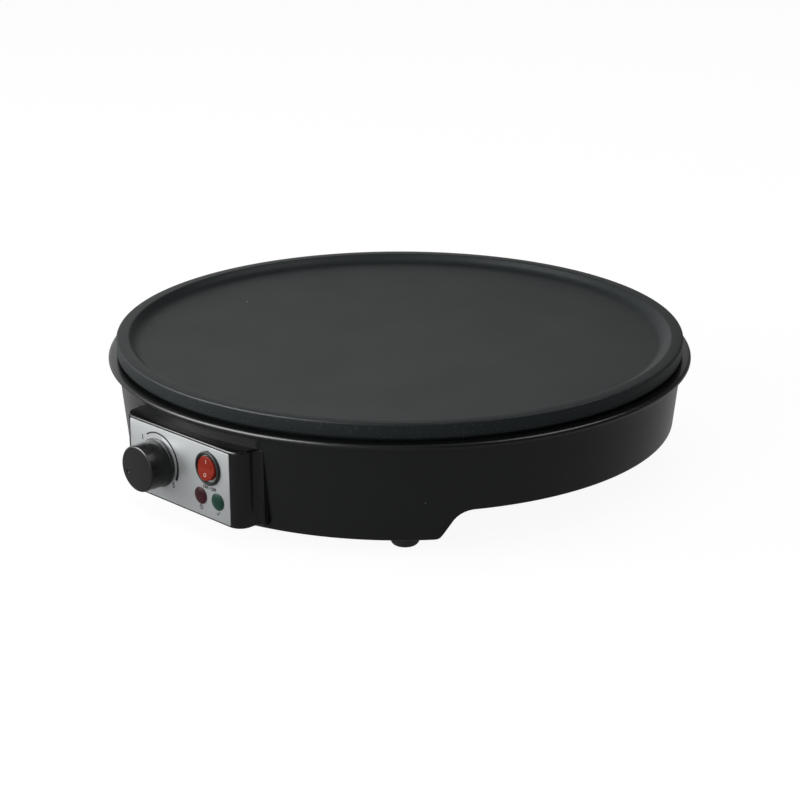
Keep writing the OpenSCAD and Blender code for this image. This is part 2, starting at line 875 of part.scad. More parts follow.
module lens() {
    dome_r = 6.4;
    flange = 0.8;
    dome_drop = sqrt(dome_r ^ 2 - (lamp_d / 2) ^ 2);
    difference() {
        rotate_extrude() {
            square([lamp_d / 2, flange]);
            translate([0, -7]) square([3.8, 7 + eps]);
            intersection() {
                translate([0, flange - dome_drop]) circle(r = dome_r);
                translate([0, flange - eps]) square([lamp_d / 2, 4]);
            }
        }
        translate([0, 0, -8]) cylinder(h = 6.5, d = 5.4);
    }
}

module power_lens() {
    color("#7d1a1c") to_front(switch_x - lamp_dx, panel_y, lamp_z) lens();
}

module ready_lens() {
    color("#2e6b50") to_front(switch_x + lamp_dx, panel_y, lamp_z) lens();
}

module lamp_collars() {
    color("#1f2022")
    for (s = [-1, 1])
        to_front(switch_x + s * lamp_dx, box_inner_y + 1.2, lamp_z)
            difference() {
                cylinder(h = 1.2, d = 10.6);
                translate([0, 0, -1]) cylinder(h = 4, d = 7.6);
            }
}

module lamp_bulbs() {
    color("#e8c8a0")
    for (s = [-1, 1])
        to_front(switch_x + s * lamp_dx, panel_y + 13.5, lamp_z) cylinder(h = 12, d = 4.4);
}

// ---- Supply ----

module cord_gland() {
    color("#17181a")
    translate([0, gland_pad_y, gland_z]) rotate([-90, 0, 0])
        difference() {
            union() {
                cylinder(h = 3, d = 17);
                translate([0, 0, 3 - eps]) cylinder(h = 5, d1 = 13, d2 = 11);
                translate([0, 0, -13]) cylinder(h = 13 + eps, d = 11.9);
            }
            translate([0, 0, -14]) cylinder(h = 30, r = gland_bore_r);
        }
}

module gland_nut() {
    color("#17181a")
    translate([0, gland_pad_y - 7, gland_z]) rotate([90, 0, 0])
        difference() {
            cylinder(h = 4, d = 18, $fn = 6);
            translate([0, 0, -1]) cylinder(h = 6, d = 11.9);
        }
}

module cord_clamp() {
    color("#202123")
    translate([0, clamp_y, floor_top])
        difference() {
            translate([-13, -5, 0]) cube([26, 10, 8]);
            translate([0, -6, 11]) rotate([-90, 0, 0]) cylinder(h = 12, r = 5.4);
            for (s = [-1, 1]) translate([s * clamp_screw_x, 0, -1]) cylinder(h = 10, d = 2.8);
        }
}

module clamp_bar_screws() {
    color("#8f9294")
    for (s = [-1, 1])
        translate([s * clamp_screw_x, clamp_y, floor_top + 8])
            rotate([180, 0, 0]) pan_screw(2.8, 8, 5.6, 1.8);
}

module terminal_block() {
    color("#e6e2d6")
    translate([block_x, block_y, floor_top])
        difference() {
            union() {
                translate([-16, -8, 0]) cube([32, 16, 6]);
                for (i = [-1:1]) translate([i * 10, 0, 0]) translate([-4, -8, 6 - eps]) cube([8, 16, 6]);
            }
            for (i = [-1:1]) {
                translate([i * 10, -9, 6]) rotate([-90, 0, 0]) cylinder(h = 18, d = 3.6);
                for (s = [-1, 1]) translate([i * 10, s * 4.5, 7]) cylinder(h = 6, d = 3);
            }
        }
}

module terminal_screws() {
    color("#c5a35a")
    for (i = [-1:1], s = [-1, 1])
        translate([block_x + i * 10, block_y + s * 4.5, floor_top + 7.8]) cylinder(h = 3.4, d = 3);
}

// A ring tag under the reflector, with a blade bent down for the earth lead.
module earth_tag() {
    tag_t = 1;
    color("#c9c9c4")
    translate([earth_x, earth_y, reflector_z - tag_t]) {
        difference() {
            union() {
                cylinder(h = tag_t, d = 9);
                translate([-2.4, -7.5, 0]) cube([4.8, 7.5, tag_t]);
            }
            translate([0, 0, -1]) cylinder(h = 3, d = 4);
        }
        translate([-2.4, -7.5, earth_tag_low - reflector_z + tag_t])
            cube([4.8, tag_t, reflector_z - earth_tag_low]);
    }
}

module earth_screw() {
    color("#c5a35a")
    translate([earth_x, earth_y, reflector_z - 1]) pan_screw(3.9, 4.4, 7.4, 2.2);
}

// ---- Wires: each route is a few round places, straight out of its terminal at both ends ----

// A place on the pin's tab, off its broad face by a distance along the tab's radius.
function pin_spot(side, off) = [
    side * (pin_end_x + off * sin(element_gap_half)),
    pin_end_y - off * cos(element_gap_half),
    pin_wire_z
];

module wire_live() {
    color("#6b3a22")
    wire([
        [block_x - 10, block_wire_y, block_wire_z], [block_x - 10, 92, block_wire_z],
        [24, 40, wire_z], [27, -40, wire_z], [26, -100, wire_z + 1],
        [switch_x, -122, switch_z], [switch_x, tab_end_y, switch_z]
    ]);
}

module wire_neutral() {
    color("#2f5f9e")
    wire([
        [block_x, block_wire_y, block_wire_z], [block_x, 90, block_wire_z],
        [33, 40, wire_z + 1], [30, 14, wire_z + 4], [23, 0, 46], [22.5, 0, 53],
        [fuse_lead_x + 2, 0, fuse_z], [fuse_lead_x, 0, fuse_z]
    ]);
}

module wire_fuse() {
    color("#e6e2d6")
    wire([
        [-fuse_lead_x, 0, fuse_z], [-fuse_lead_x - 2, 0, fuse_z], [-22.5, 0, 53],
        [-21, -2, 43], [-20, -14, wire_z + 3], [-4, -60, wire_z + 1],
        pin_spot(1, -12), pin_spot(1, -0.4)
    ]);
}

module wire_heater() {
    color("#8a2a20")
    wire([
        [stack_x, blade_y[0] + blade_t, knob_z - 6.6], [stack_x, -132, knob_z - 6.6],
        [-3, -118, 28], [-11, -108, 31], pin_spot(-1, 10), pin_spot(-1, 0.4)
    ], 0.9);
}

module wire_switched() {
    color("#222222")
    wire([
        [switch_x, tab_end_y, switch_z + tab_gap], [switch_x, -127, switch_z + tab_gap],
        [12, -121, 40], [stack_x, -127, knob_z + 6.6],
        [stack_x, blade_y[1] + blade_t, knob_z + 6.6]
    ], 0.9);
}

module wire_earth() {
    color("#5c8f3a")
    wire([
        [block_x + 10, block_wire_y, block_wire_z], [block_x + 10, 92, block_wire_z],
        [53, 80, wire_z], [earth_x, 77, 33], [earth_x, 77, earth_tag_low]
    ]);
}

module lamp_leads() {
    color("#d8d8d8")
    for (s = [-1, 1])
        wire([
            [switch_x + s * lamp_dx, panel_y + 13.5, lamp_z],
            [switch_x + s * lamp_dx, -132, lamp_z], [switch_x + s * 4.5, -123.5, 26],
            [switch_x + s * 2, -122, 31], [switch_x + s * 0.65, -127, switch_z - tab_gap],
            [switch_x + s * 0.65, tab_end_y, switch_z - tab_gap]
        ], 0.6);
}

griddle_plate();
heating_element();
element_pins();
element_beads();
element_clamps();
clamp_screws();
heat_reflector();
spacers_upper();
spacers_lower();
plate_screws();
thermal_fuse();
fuse_strap();
housing();
bottom_cover();
cover_screws();
foot_front_left();
foot_front_right();
foot_rear_left();
foot_rear_right();
control_box();
box_screws();
control_panel();
thermostat_knob();
thermostat_spindle();
thermostat_bushing();
thermostat_nut();
thermostat_frame();
thermostat_ceramics();
thermostat_rivet();
bimetal_strip();
contact_blades();
contact_tips();
switch_body();
switch_rocker();
switch_seesaw();
switch_terminals();
power_lens();
ready_lens();
lamp_collars();
lamp_bulbs();
terminal_block();
terminal_screws();
cord_gland();
gland_nut();
cord_clamp();
clamp_bar_screws();
earth_tag();
earth_screw();
wire_live();
wire_neutral();
wire_fuse();
wire_switched();
wire_heater();
wire_earth();
lamp_leads();
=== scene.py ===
# %% [markdown]
# # An electric crepe maker, cell by cell
#
# The object is a cast round plate on a black moulded housing, with a small control box at
# its front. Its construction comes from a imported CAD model. This script gives it its looks:
# the pieces that show get finer meshes with soft edges, every piece gets a finish, and then
# come the floor, the light and the camera.
#
# Lengths are in metres. The plate's axis is the Z axis, z = 0 is the counter, and the
# control panel faces -Y.

# %% Load the frame
import json
import math

import bmesh
import bpy
from mathutils import Matrix, Vector


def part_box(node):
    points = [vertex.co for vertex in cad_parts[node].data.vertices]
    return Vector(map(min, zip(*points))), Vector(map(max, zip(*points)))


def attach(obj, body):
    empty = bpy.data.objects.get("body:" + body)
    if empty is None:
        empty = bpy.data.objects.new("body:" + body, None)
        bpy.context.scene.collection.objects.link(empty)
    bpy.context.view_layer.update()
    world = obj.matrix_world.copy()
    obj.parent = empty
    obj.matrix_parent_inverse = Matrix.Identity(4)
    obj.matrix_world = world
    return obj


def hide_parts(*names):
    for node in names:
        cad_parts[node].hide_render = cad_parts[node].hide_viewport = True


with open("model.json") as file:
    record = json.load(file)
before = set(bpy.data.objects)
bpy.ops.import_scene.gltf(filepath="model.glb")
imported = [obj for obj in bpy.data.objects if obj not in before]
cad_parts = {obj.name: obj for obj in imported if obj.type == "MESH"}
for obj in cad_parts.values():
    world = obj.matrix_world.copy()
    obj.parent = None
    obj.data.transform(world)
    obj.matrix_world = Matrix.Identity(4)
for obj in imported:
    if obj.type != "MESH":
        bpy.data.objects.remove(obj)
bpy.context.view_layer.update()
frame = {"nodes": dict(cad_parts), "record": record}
scene = bpy.context.scene

# %% [markdown]
# ## Sizes, read from the frame
#
# A designer keeps one set of sizes. The CAD model already has them, so each place and size
# here is measured from the box round a CAD node, and only small details such as an edge's
# softness are new numbers. They are written in millimetres and turned into metres by MM.

# %% Measure the nodes
MM = 0.001


def middle(node):
    """The centre of the box round a CAD node."""
    low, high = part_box(node)
    return (low + high) / 2


def width(node):
    """How wide a CAD node is along X, in metres."""
    low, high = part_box(node)
    return high.x - low.x


plate_r = width("griddle_plate") / 2
plate_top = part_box("griddle_plate")[1].z
plate_edge = 7.6 * MM  # the height of the plate's outer wall
recess = 4 * MM  # from the rim down to the cooking surface
rim = 6.5 * MM  # the width of the flat rim
lip_r = width("housing") / 2
lip_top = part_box("housing")[1].z
lip_t = 3 * MM  # the lip's thickness
skirt_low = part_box("housing")[0].z
panel_low, panel_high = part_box("control_panel")
panel_y = panel_low.y
print("plate radius", round(plate_r / MM, 1), "mm, its rim at", round(plate_top / MM, 1), "mm")
print("lip radius", round(lip_r / MM, 1), "mm, panel at y =", round(panel_y / MM, 1), "mm")

# %% [markdown]
# ## Finishes: one group for grain, one for specks
#
# No real surface is a single flat colour. A moulded black plastic has a very fine waviness
# and slightly uneven gloss, a coated casting has a pebbled skin, and everything carries a
# little dust. Each such effect could be painted, but a painted picture has one size and
# seams. A shader node group works at any distance: it is built once, has named inputs, and
# each material sets them for itself.
#
# The first group is grain. It mixes two noises, a fine one and a broad one, and puts out a
# height for a Bump node, a roughness and a shade that runs from 0 to 1.

# %% Build the grain group


def new_group(name, inputs, outputs):
    """An empty shader group with float or vector sockets, and its two end nodes."""
    group = bpy.data.node_groups.new(name, "ShaderNodeTree")
    for label, kind, value in inputs:
        socket = group.interface.new_socket(label, in_out="INPUT", socket_type=kind)
        if value is not None:
            socket.default_value = value
    for label, kind in outputs:
        group.interface.new_socket(label, in_out="OUTPUT", socket_type=kind)
    entry = group.nodes.new("NodeGroupInput")
    leave = group.nodes.new("NodeGroupOutput")
    return group, entry, leave


def add(tree, kind, **settings):
    """Adds a node and sets its named properties."""
    node = tree.nodes.new(kind)
    for key, value in settings.items():
        setattr(node, key, value)
    return node


def maths(tree, operation, first, second, clamp=False):
    """A Math node of two inputs, each a number or another node's output."""
    node = add(tree, "ShaderNodeMath", operation=operation, use_clamp=clamp)
    for socket, value in zip(node.inputs, (first, second)):
        if isinstance(value, (int, float)):
            socket.default_value = value
        else:
            tree.links.new(value, socket)
    return node.outputs[0]


FLOAT = "NodeSocketFloat"
VECTOR = "NodeSocketVector"

grain, entry, leave = new_group(
    "Fine grain",
    [
        ("Vector", VECTOR, None),
        ("Scale", FLOAT, 900.0),
        ("Broad scale", FLOAT, 25.0),
        ("Roughness", FLOAT, 0.4),
        ("Unevenness", FLOAT, 0.1),
    ],
    [("Height", FLOAT), ("Roughness", FLOAT), ("Shade", FLOAT)],
)
fine = add(grain, "ShaderNodeTexNoise")
fine.inputs["Detail"].default_value = 3
broad = add(grain, "ShaderNodeTexNoise")
broad.inputs["Detail"].default_value = 2
for noise, scale in ((fine, "Scale"), (broad, "Broad scale")):
    grain.links.new(entry.outputs["Vector"], noise.inputs["Vector"])
    grain.links.new(entry.outputs[scale], noise.inputs["Scale"])
swing = maths(grain, "SUBTRACT", broad.outputs["Fac"], 0.5)
swing = maths(grain, "MULTIPLY", swing, entry.outputs["Unevenness"])
grain.links.new(fine.outputs["Fac"], leave.inputs["Height"])
grain.links.new(
    maths(grain, "ADD", entry.outputs["Roughness"], swing, clamp=True),
    leave.inputs["Roughness"],
)
grain.links.new(broad.outputs["Fac"], leave.inputs["Shade"])
print("group:", grain.name)

# %% [markdown]
# The second group is specks: tiny pale flecks, such as dust, and on the plate's edge painted
# glints. A Voronoi texture gives each cell a centre. A point near enough to its centre is
# inside a fleck, and the cell's own random colour leaves out all but a share of the cells.

# %% Build the speck group
specks, entry, leave = new_group(
    "Specks",
    [
        ("Vector", VECTOR, None),
        ("Scale", FLOAT, 400.0),
        ("Size", FLOAT, 0.12),
        ("Share", FLOAT, 0.1),
    ],
    [("Mask", FLOAT)],
)
cells = add(specks, "ShaderNodeTexVoronoi")
specks.links.new(entry.outputs["Vector"], cells.inputs["Vector"])
specks.links.new(entry.outputs["Scale"], cells.inputs["Scale"])
inside = maths(specks, "LESS_THAN", cells.outputs["Distance"], entry.outputs["Size"])
chosen = add(specks, "ShaderNodeSeparateColor")
specks.links.new(cells.outputs["Color"], chosen.inputs["Color"])
picked = maths(specks, "LESS_THAN", chosen.outputs["Red"], entry.outputs["Share"])
specks.links.new(maths(specks, "MULTIPLY", inside, picked), leave.inputs["Mask"])
print("group:", specks.name)

# %% [markdown]
# ## A finish in one call
#
# Every finish here is a Principled BSDF with the grain group behind it, so one function
# makes them all. What is the same all over, such as the metal's share or the specular
# level, is set on the shader's own socket. Only what changes over the surface comes through
# the nodes: the roughness, the shade, the flecks and the bump.

# %% Write the finish function
PATCH = 40 * MM  # the size of the patches in which a surface is a little uneven
FLECK_COLOUR = (0.5, 0.52, 0.54, 1)


def finish(
    name,
    colour,
    roughness,
    metallic=0.0,
    specular=0.5,
    grain_size=1.0,
    depth=0.05,
    unevenness=0.1,
    tint=0.15,
    speck_share=0.0,
    speck_size=0.5,
):
    """A procedural material. Sizes are in millimetres and colours are linear."""
    material = bpy.data.materials.new(name)
    material.use_nodes = True
    tree = material.node_tree
    shader = tree.nodes["Principled BSDF"]
    shader.inputs["Metallic"].default_value = metallic
    shader.inputs["Specular IOR Level"].default_value = specular
    coords = add(tree, "ShaderNodeTexCoord")
    skin = add(tree, "ShaderNodeGroup", node_tree=grain)
    skin.inputs["Scale"].default_value = 1 / (grain_size * MM)
    skin.inputs["Broad scale"].default_value = 1 / PATCH
    skin.inputs["Roughness"].default_value = roughness
    skin.inputs["Unevenness"].default_value = unevenness
    tree.links.new(coords.outputs["Object"], skin.inputs["Vector"])
    tree.links.new(skin.outputs["Roughness"], shader.inputs["Roughness"])
    shade = add(tree, "ShaderNodeMix", data_type="RGBA")
    shade.inputs["A"].default_value = [c * (1 - tint) for c in colour] + [1]
    shade.inputs["B"].default_value = [c * (1 + tint) for c in colour] + [1]
    tree.links.new(skin.outputs["Shade"], shade.inputs["Factor"])
    colour_out = shade.outputs["Result"]
    if speck_share:
        fleck = add(tree, "ShaderNodeGroup", node_tree=specks)
        fleck.inputs["Scale"].default_value = 1 / (speck_size * MM)
        fleck.inputs["Share"].default_value = speck_share
        tree.links.new(coords.outputs["Object"], fleck.inputs["Vector"])
        pale = add(tree, "ShaderNodeMix", data_type="RGBA")
        pale.inputs["B"].default_value = FLECK_COLOUR
        tree.links.new(fleck.outputs["Mask"], pale.inputs["Factor"])
        tree.links.new(colour_out, pale.inputs["A"])
        colour_out = pale.outputs["Result"]
    tree.links.new(colour_out, shader.inputs["Base Color"])
    bump = add(tree, "ShaderNodeBump")
    bump.inputs["Distance"].default_value = depth * MM
    tree.links.new(skin.outputs["Height"], bump.inputs["Height"])
    tree.links.new(bump.outputs["Normal"], shader.inputs["Normal"])
    return material


print("finish function ready")

# %% [markdown]
# ## The finishes of the pieces that show
#
# The plate is cast and sprayed with a dark grey non-stick coat: satin, pebbled, slightly
# blue-green. Its sheen could come from a high specular level, but it stands on a white
# floor, which a strong reflection would show as a grey veil. So the levels of all the dark
# finishes are low, and their gloss comes from a low roughness.

# %% Mix the plate's coating
coating = finish(
    "plate_coating", (0.0215, 0.0275, 0.0292), 0.45, specular=0.12, grain_size=0.5,
    depth=0.04, unevenness=0.1, tint=0.12, speck_share=0.0012, speck_size=3,
)
print("first finish:", coating.name)

# %% [markdown]
# The coating is thinner on the plate's edge, where a spatula scrapes along, and small pale
# flecks of the casting show through it. The same flecks are also painted glints: they stand
# in for light sparkling along the edge. The speck group makes them, and a mask on the
# distance from the plate's axis keeps them to the edge.

# %% Scuff the plate's edge and paint glints on it
# The pale flecks at the edge are partly worn coating and partly painted glints.
WEAR_AND_GLINT_FROM = plate_r - 1.3 * MM
WEAR_AND_GLINT_SPECKS = (("Scale", 1 / (0.8 * MM)), ("Size", 0.3), ("Share", 0.1))
# the flecks' colour: the bare casting, and a painted highlight where light would sparkle
WEAR_AND_GLINT_COLOUR = (0.085, 0.09, 0.094, 1)
tree = coating.node_tree
shader = tree.nodes["Principled BSDF"]
coords = next(n for n in tree.nodes if n.bl_idname == "ShaderNodeTexCoord")
flat = add(tree, "ShaderNodeVectorMath", operation="MULTIPLY")
flat.inputs[1].default_value = (1, 1, 0)
tree.links.new(coords.outputs["Object"], flat.inputs[0])
reach = add(tree, "ShaderNodeVectorMath", operation="LENGTH")
tree.links.new(flat.outputs["Vector"], reach.inputs[0])
at_edge = maths(tree, "GREATER_THAN", reach.outputs["Value"], WEAR_AND_GLINT_FROM)
wear_and_glint_flecks = add(tree, "ShaderNodeGroup", node_tree=specks)
for label, value in WEAR_AND_GLINT_SPECKS:
    wear_and_glint_flecks.inputs[label].default_value = value
tree.links.new(coords.outputs["Object"], wear_and_glint_flecks.inputs["Vector"])
# mixes in the flecks: wear together with painted glints
worn_and_glinting = add(tree, "ShaderNodeMix", data_type="RGBA")
worn_and_glinting.inputs["B"].default_value = WEAR_AND_GLINT_COLOUR
tree.links.new(maths(tree, "MULTIPLY", at_edge, wear_and_glint_flecks.outputs["Mask"]), worn_and_glinting.inputs["Factor"])
tree.links.new(shader.inputs["Base Color"].links[0].from_socket, worn_and_glinting.inputs["A"])
tree.links.new(worn_and_glinting.outputs["Result"], shader.inputs["Base Color"])
print("edge scuffed beyond", round(WEAR_AND_GLINT_FROM / MM, 1), "mm")

# %% [markdown]
# The housing is a black heat-proof plastic with a soft gloss, the control box a shinier one
# and the knob a finely grained one. The panel is a metal foil with a satin film on it. Just
# over half of it shades as metal, so it shows a blurred image of the knob, and the rest as
# paint, which keeps it pale from every side.

# %% Mix the plastics and the panel
housing_black = finish(
    "housing_black", (0.0098, 0.0107, 0.011), 0.26, specular=0.24, grain_size=2.5,
    depth=0.012, unevenness=0.08, speck_share=0.002, speck_size=2.4,
)
box_black = finish(
    "box_black", (0.0075, 0.0082, 0.0086), 0.18, specular=0.27, grain_size=4,
    depth=0.01, unevenness=0.06, speck_share=0.002, speck_size=2,
)
panel_silver = finish(
    "panel_silver", (0.5, 0.52, 0.525), 0.34, metallic=0.55, specular=0.2, grain_size=0.18,
    depth=0.006, unevenness=0.08, tint=0.03,
)
knob_grey = finish(
    "knob_grey", (0.0065, 0.007, 0.0075), 0.28, specular=0.35, grain_size=0.35,
    depth=0.018, unevenness=0.1, speck_share=0.004, speck_size=1.5,
)
print("mixed:", [m.name for m in (housing_black, box_black, panel_silver, knob_grey)])

# %% [markdown]
# The rocker is a clear red plastic. Glass would need a lamp and a bright inside behind it,
# so it is an opaque plastic here, with a broad change of shade that stands for what shows
# through. The lenses are made the same way, one red and one green, and darker, because a
# lens that isn't lit shows the dark inside of its lamp. The print and the rubber feet are
# mixed here too.

# %% Mix the red and green plastics, the ink and the rubber
switch_black = finish(
    "switch_black", (0.017, 0.018, 0.0185), 0.45, specular=0.2, grain_size=0.8, depth=0.006,
    unevenness=0.06,
)
rocker_red = finish(
    "rocker_red", (0.3, 0.024, 0.011), 0.3, specular=0.1, grain_size=1.2,
    depth=0.01, unevenness=0.05, tint=0.3,
)
lens_red = finish(
    "lens_red", (0.046, 0.011, 0.0155), 0.3, specular=0.12, grain_size=1.5, depth=0.02, tint=0.4
)
lens_green = finish(
    "lens_green", (0.014, 0.056, 0.039), 0.3, specular=0.12, grain_size=1.5, depth=0.02, tint=0.3
)
print_black = finish(
    "print_black", (0.012, 0.0125, 0.013), 0.5, specular=0.15, grain_size=0.3, depth=0.002
)
print_white = finish("print_white", (0.75, 0.66, 0.62), 0.5, grain_size=0.3, depth=0.002)
rubber = finish("foot_rubber", (0.011, 0.011, 0.012), 0.62, grain_size=0.6, depth=0.02)
print("finishes so far:", len(bpy.data.materials))

# %% [markdown]
# ## Every other node takes the finish of its slot
#
# The record lists a material slot for each node, with a class such as brass and a colour.
# One finish per slot is enough for the pieces inside, and it is worked out from the class.

# %% Dress the CAD nodes
CLASS_LOOK = {
    # class: metallic, roughness, grain size in mm, grain depth in mm
    "aluminium": (1.0, 0.34, 1.2, 0.02),
    "brushed_steel": (1.0, 0.32, 0.6, 0.012),
    "brass": (1.0, 0.3, 0.8, 0.012),
    "ceramic": (0.0, 0.62, 0.5, 0.02),
    "painted_metal": (0.0, 0.42, 0.9, 0.02),
    "gloss_plastic": (0.0, 0.28, 1.5, 0.01),
    "matte_plastic": (0.0, 0.5, 0.8, 0.02),
    "rubber": (0.0, 0.65, 0.6, 0.02),
    "glass": (0.0, 0.08, 3.0, 0.004),
}


def slot_finish(listed):
    """The finish of one material slot of the record."""
    metallic, roughness, size, depth = CLASS_LOOK[listed["class"]]
    return finish(
        "slot_" + listed["slot"], listed["base_color"][:3], roughness, metallic=metallic,
        grain_size=size, depth=depth,
    )


finish_of = {m["slot"]: slot_finish(m) for m in frame["record"]["materials"]}
slot_of = {s["node"]: s["material_slot"] for s in frame["record"]["subparts"]}
for node_name, node_object in frame["nodes"].items():
    node_object.data.materials.clear()
    node_object.data.materials.append(finish_of[slot_of[node_name]])
print("dressed", len(slot_of), "nodes in", len(finish_of), "finishes")

# %% [markdown]
# ## Turned shapes: a soft profile and a spin
#
# The plate, the skirt, the knob, the bezel, the lenses and the feet are all round. Each
# could start as a cylinder and be cut, but a lathe is closer to how their moulds are made:
# draw half of the section, then turn it. The section is a face, its corners are rounded
# with a vertex bevel, and the spin operator turns its outline once round the axis.
#
# A vertex bevel moves back from the corner along both edges. For a radius r at a corner of
# angle a, that distance is r / tan(a / 2), which the helper works out.

# %% Write the lathe
SAME = 1e-7  # metres; two heights that differ by less are level
WELD = 1e-6  # metres; two points that are nearer become one


def soft_face(points, softness, segments=6):
    """A flat face through the points, with each corner rounded to its radius in metres."""
    bm = bmesh.new()
    verts = [bm.verts.new(point) for point in points]
    bm.faces.new(verts)
    points = [Vector(point) for point in points]
    for i, vert in enumerate(verts):
        if not softness[i]:
            continue
        back = points[i - 1] - points[i]
        ahead = points[(i + 1) % len(points)] - points[i]
        run = softness[i] / math.tan(back.angle(ahead) / 2)
        bmesh.ops.bevel(
            bm, geom=[vert], offset=run, offset_type="OFFSET", segments=segments,
            profile=0.5, affect="VERTICES", material=-1,
        )
    return bm


def turn(bm, steps):
    """Turns a section once round the Z axis and closes its poles."""
    bmesh.ops.delete(bm, geom=bm.faces[:], context="FACES_ONLY")
    on_axis = [e for e in bm.edges if max(v.co.x for v in e.verts) < SAME]
    bmesh.ops.delete(bm, geom=on_axis, context="EDGES")
    bmesh.ops.spin(
        bm, geom=bm.verts[:] + bm.edges[:], cent=(0, 0, 0), axis=(0, 0, 1),
        angle=math.tau, steps=steps, use_merge=True,
    )
    bmesh.ops.remove_doubles(bm, verts=bm.verts[:], dist=WELD)
    bmesh.ops.recalc_face_normals(bm, faces=bm.faces[:])
    return bm


def turned(corners_mm, steps=96, segments=6):
    """The whole lathe: (radius, height, softness) corners in mm in, a closed bmesh out."""
    points = [(r * MM, 0, z * MM) for r, z, soft in corners_mm]
    section = soft_face(points, [soft * MM for r, z, soft in corners_mm], segments)
    return turn(section, steps)


print("lathe ready")

# %% [markdown]
# ## From bmesh to piece
#
# One helper makes the object: it shades the mesh smooth but keeps sharp creases, gives it
# its finish, lets it ride on a body of the frame, and hides the CAD node it stands for.
# The others hold the operators that come back in piece after piece: a move, a bevel of
# edges, an extrusion upwards, a drum and a block.

# %% Write the piece maker
FACE_FRONT = Matrix.Rotation(math.radians(90), 4, "X")  # turns a lathe's +Z to the front
CREASE = 32  # degrees; edges that bend more stay sharp


def as_mesh(name, bm):
    """Writes a bmesh into a new mesh and frees it."""
    mesh = bpy.data.meshes.new(name)
    bm.to_mesh(mesh)
    bm.free()
    return mesh


def make_piece(name, bm, body, slot, look, *stands_for, crease=CREASE):
    """Turns a bmesh into a finished piece that rides on a body."""
    mesh = as_mesh(name, bm)
    mesh.shade_smooth()
    mesh.set_sharp_from_angle(angle=math.radians(crease))
    mesh.materials.append(look)
    piece = bpy.data.objects.new(name, mesh)
    scene.collection.objects.link(piece)
    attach(piece, body)
    if stands_for:
        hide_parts(*stands_for)
    print("made", name, "with", len(mesh.polygons), "faces")
    return piece


def settled_mesh(carrier):
    """The mesh of an object after its modifiers, or of a text."""
    bpy.context.view_layer.update()
    graph = bpy.context.evaluated_depsgraph_get()
    return bpy.data.meshes.new_from_object(carrier.evaluated_get(graph))


def place(bm, matrix, verts=None):
    """Moves all or some vertices of a bmesh by a matrix."""
    bmesh.ops.transform(bm, matrix=matrix, verts=verts or bm.verts[:])


def shift(x, y, z):
    """A plain move, in metres."""
    return Matrix.Translation((x, y, z))


def soften(bm, edges, radius, segments, **more):
    """Rounds edges of a bmesh to a radius in metres."""
    return bmesh.ops.bevel(
        bm, geom=edges, offset=radius, segments=segments, profile=0.5, affect="EDGES",
        material=-1, **more,
    )


def raise_up(bm, height):
    """Extrudes a flat bmesh upwards, and turns its faces outwards."""
    grown = bmesh.ops.extrude_face_region(bm, geom=bm.faces[:])
    top = [g for g in grown["geom"] if isinstance(g, bmesh.types.BMVert)]
    place(bm, shift(0, 0, height), top)
    bmesh.ops.recalc_face_normals(bm, faces=bm.faces[:])


def edges_of(verts):
    """The edges that meet some vertices, each once and in a fixed order."""
    return list(dict.fromkeys(e for v in verts for e in v.link_edges))


def add_drum(bm, radius, low, high, at, soft=0.0, sides=48):
    """Adds a closed upright cylinder with soft rims to a bmesh."""
    made = bmesh.ops.create_cone(
        bm, cap_ends=True, segments=sides, radius1=radius, radius2=radius,
        depth=high - low, matrix=shift(at[0], at[1], (low + high) / 2),
    )
    if soft:
        edges = edges_of(made["verts"])
        rims = [e for e in edges if abs(e.verts[0].co.z - e.verts[1].co.z) < SAME]
        soften(bm, rims, soft, 3)


def add_block(bm, low, high, soft=0.0, matrix=None):
    """Adds a box with soft edges, given by two corners, to a bmesh."""
    low, high = Vector(low), Vector(high)
    size = Matrix.Diagonal((*(high - low), 1))
    made = bmesh.ops.create_cube(bm, size=1, matrix=Matrix.Translation((low + high) / 2) @ size)
    verts = made["verts"]
    if soft:
        verts = soften(bm, edges_of(verts), soft, 2)["verts"]
    if matrix is not None:
        place(bm, matrix, verts)


print("piece maker ready")

# %% [markdown]
# ## The plate
#
# A casting with a shallow recess: a flat rim, a sloped inner wall and a wide soft fillet
# down to the cooking surface. Seen from the front, the rim's inner corner draws the thin
# pale line that runs round the plate. Below are the ring that centres it in the housing,
# a land that carries the heater, and four posts for its screws.

# %% Turn the plate
R = plate_r / MM
TOP = plate_top / MM
LOW = TOP - plate_edge / MM
COOK = TOP - recess / MM
RIM_IN = R - rim / MM
LAND = (78, 106)  # inner and outer radius of the land
GROOVE = (88, 96)  # and of the groove in it, which holds the heater
DEEP = LOW - 4  # the foot of the centring ring and of the land
plate_section = [
    (0, COOK, 0), (RIM_IN - 4, COOK, 6), (RIM_IN, TOP, 1.2), (R, TOP, 1.1), (R, LOW, 0.8),
    (R - 4, LOW, 0), (R - 4, DEEP, 0.4), (R - 7, DEEP, 0.4), (R - 7, LOW, 0),
    (LAND[1], LOW, 0), (LAND[1], DEEP, 0.4), (GROOVE[1], DEEP, 0), (GROOVE[1], LOW - 1, 0),
    (GROOVE[0], LOW - 1, 0), (GROOVE[0], DEEP, 0), (LAND[0], DEEP, 0.4), (LAND[0], LOW, 0),
    (0, LOW, 0),
]
plate = turned(plate_section, steps=360)
POST_R = 120 * MM
post_spots = [
    (POST_R * math.cos(turn_to), POST_R * math.sin(turn_to))
    for turn_to in (math.radians(angle) for angle in (25, 155, 205, 335))
]
for spot in post_spots:
    add_drum(plate, 8 * MM, 54 * MM, LOW * MM, spot, soft=0.5 * MM)
make_piece("cast_plate", plate, "base", "coated_cast_alloy", coating, "griddle_plate")

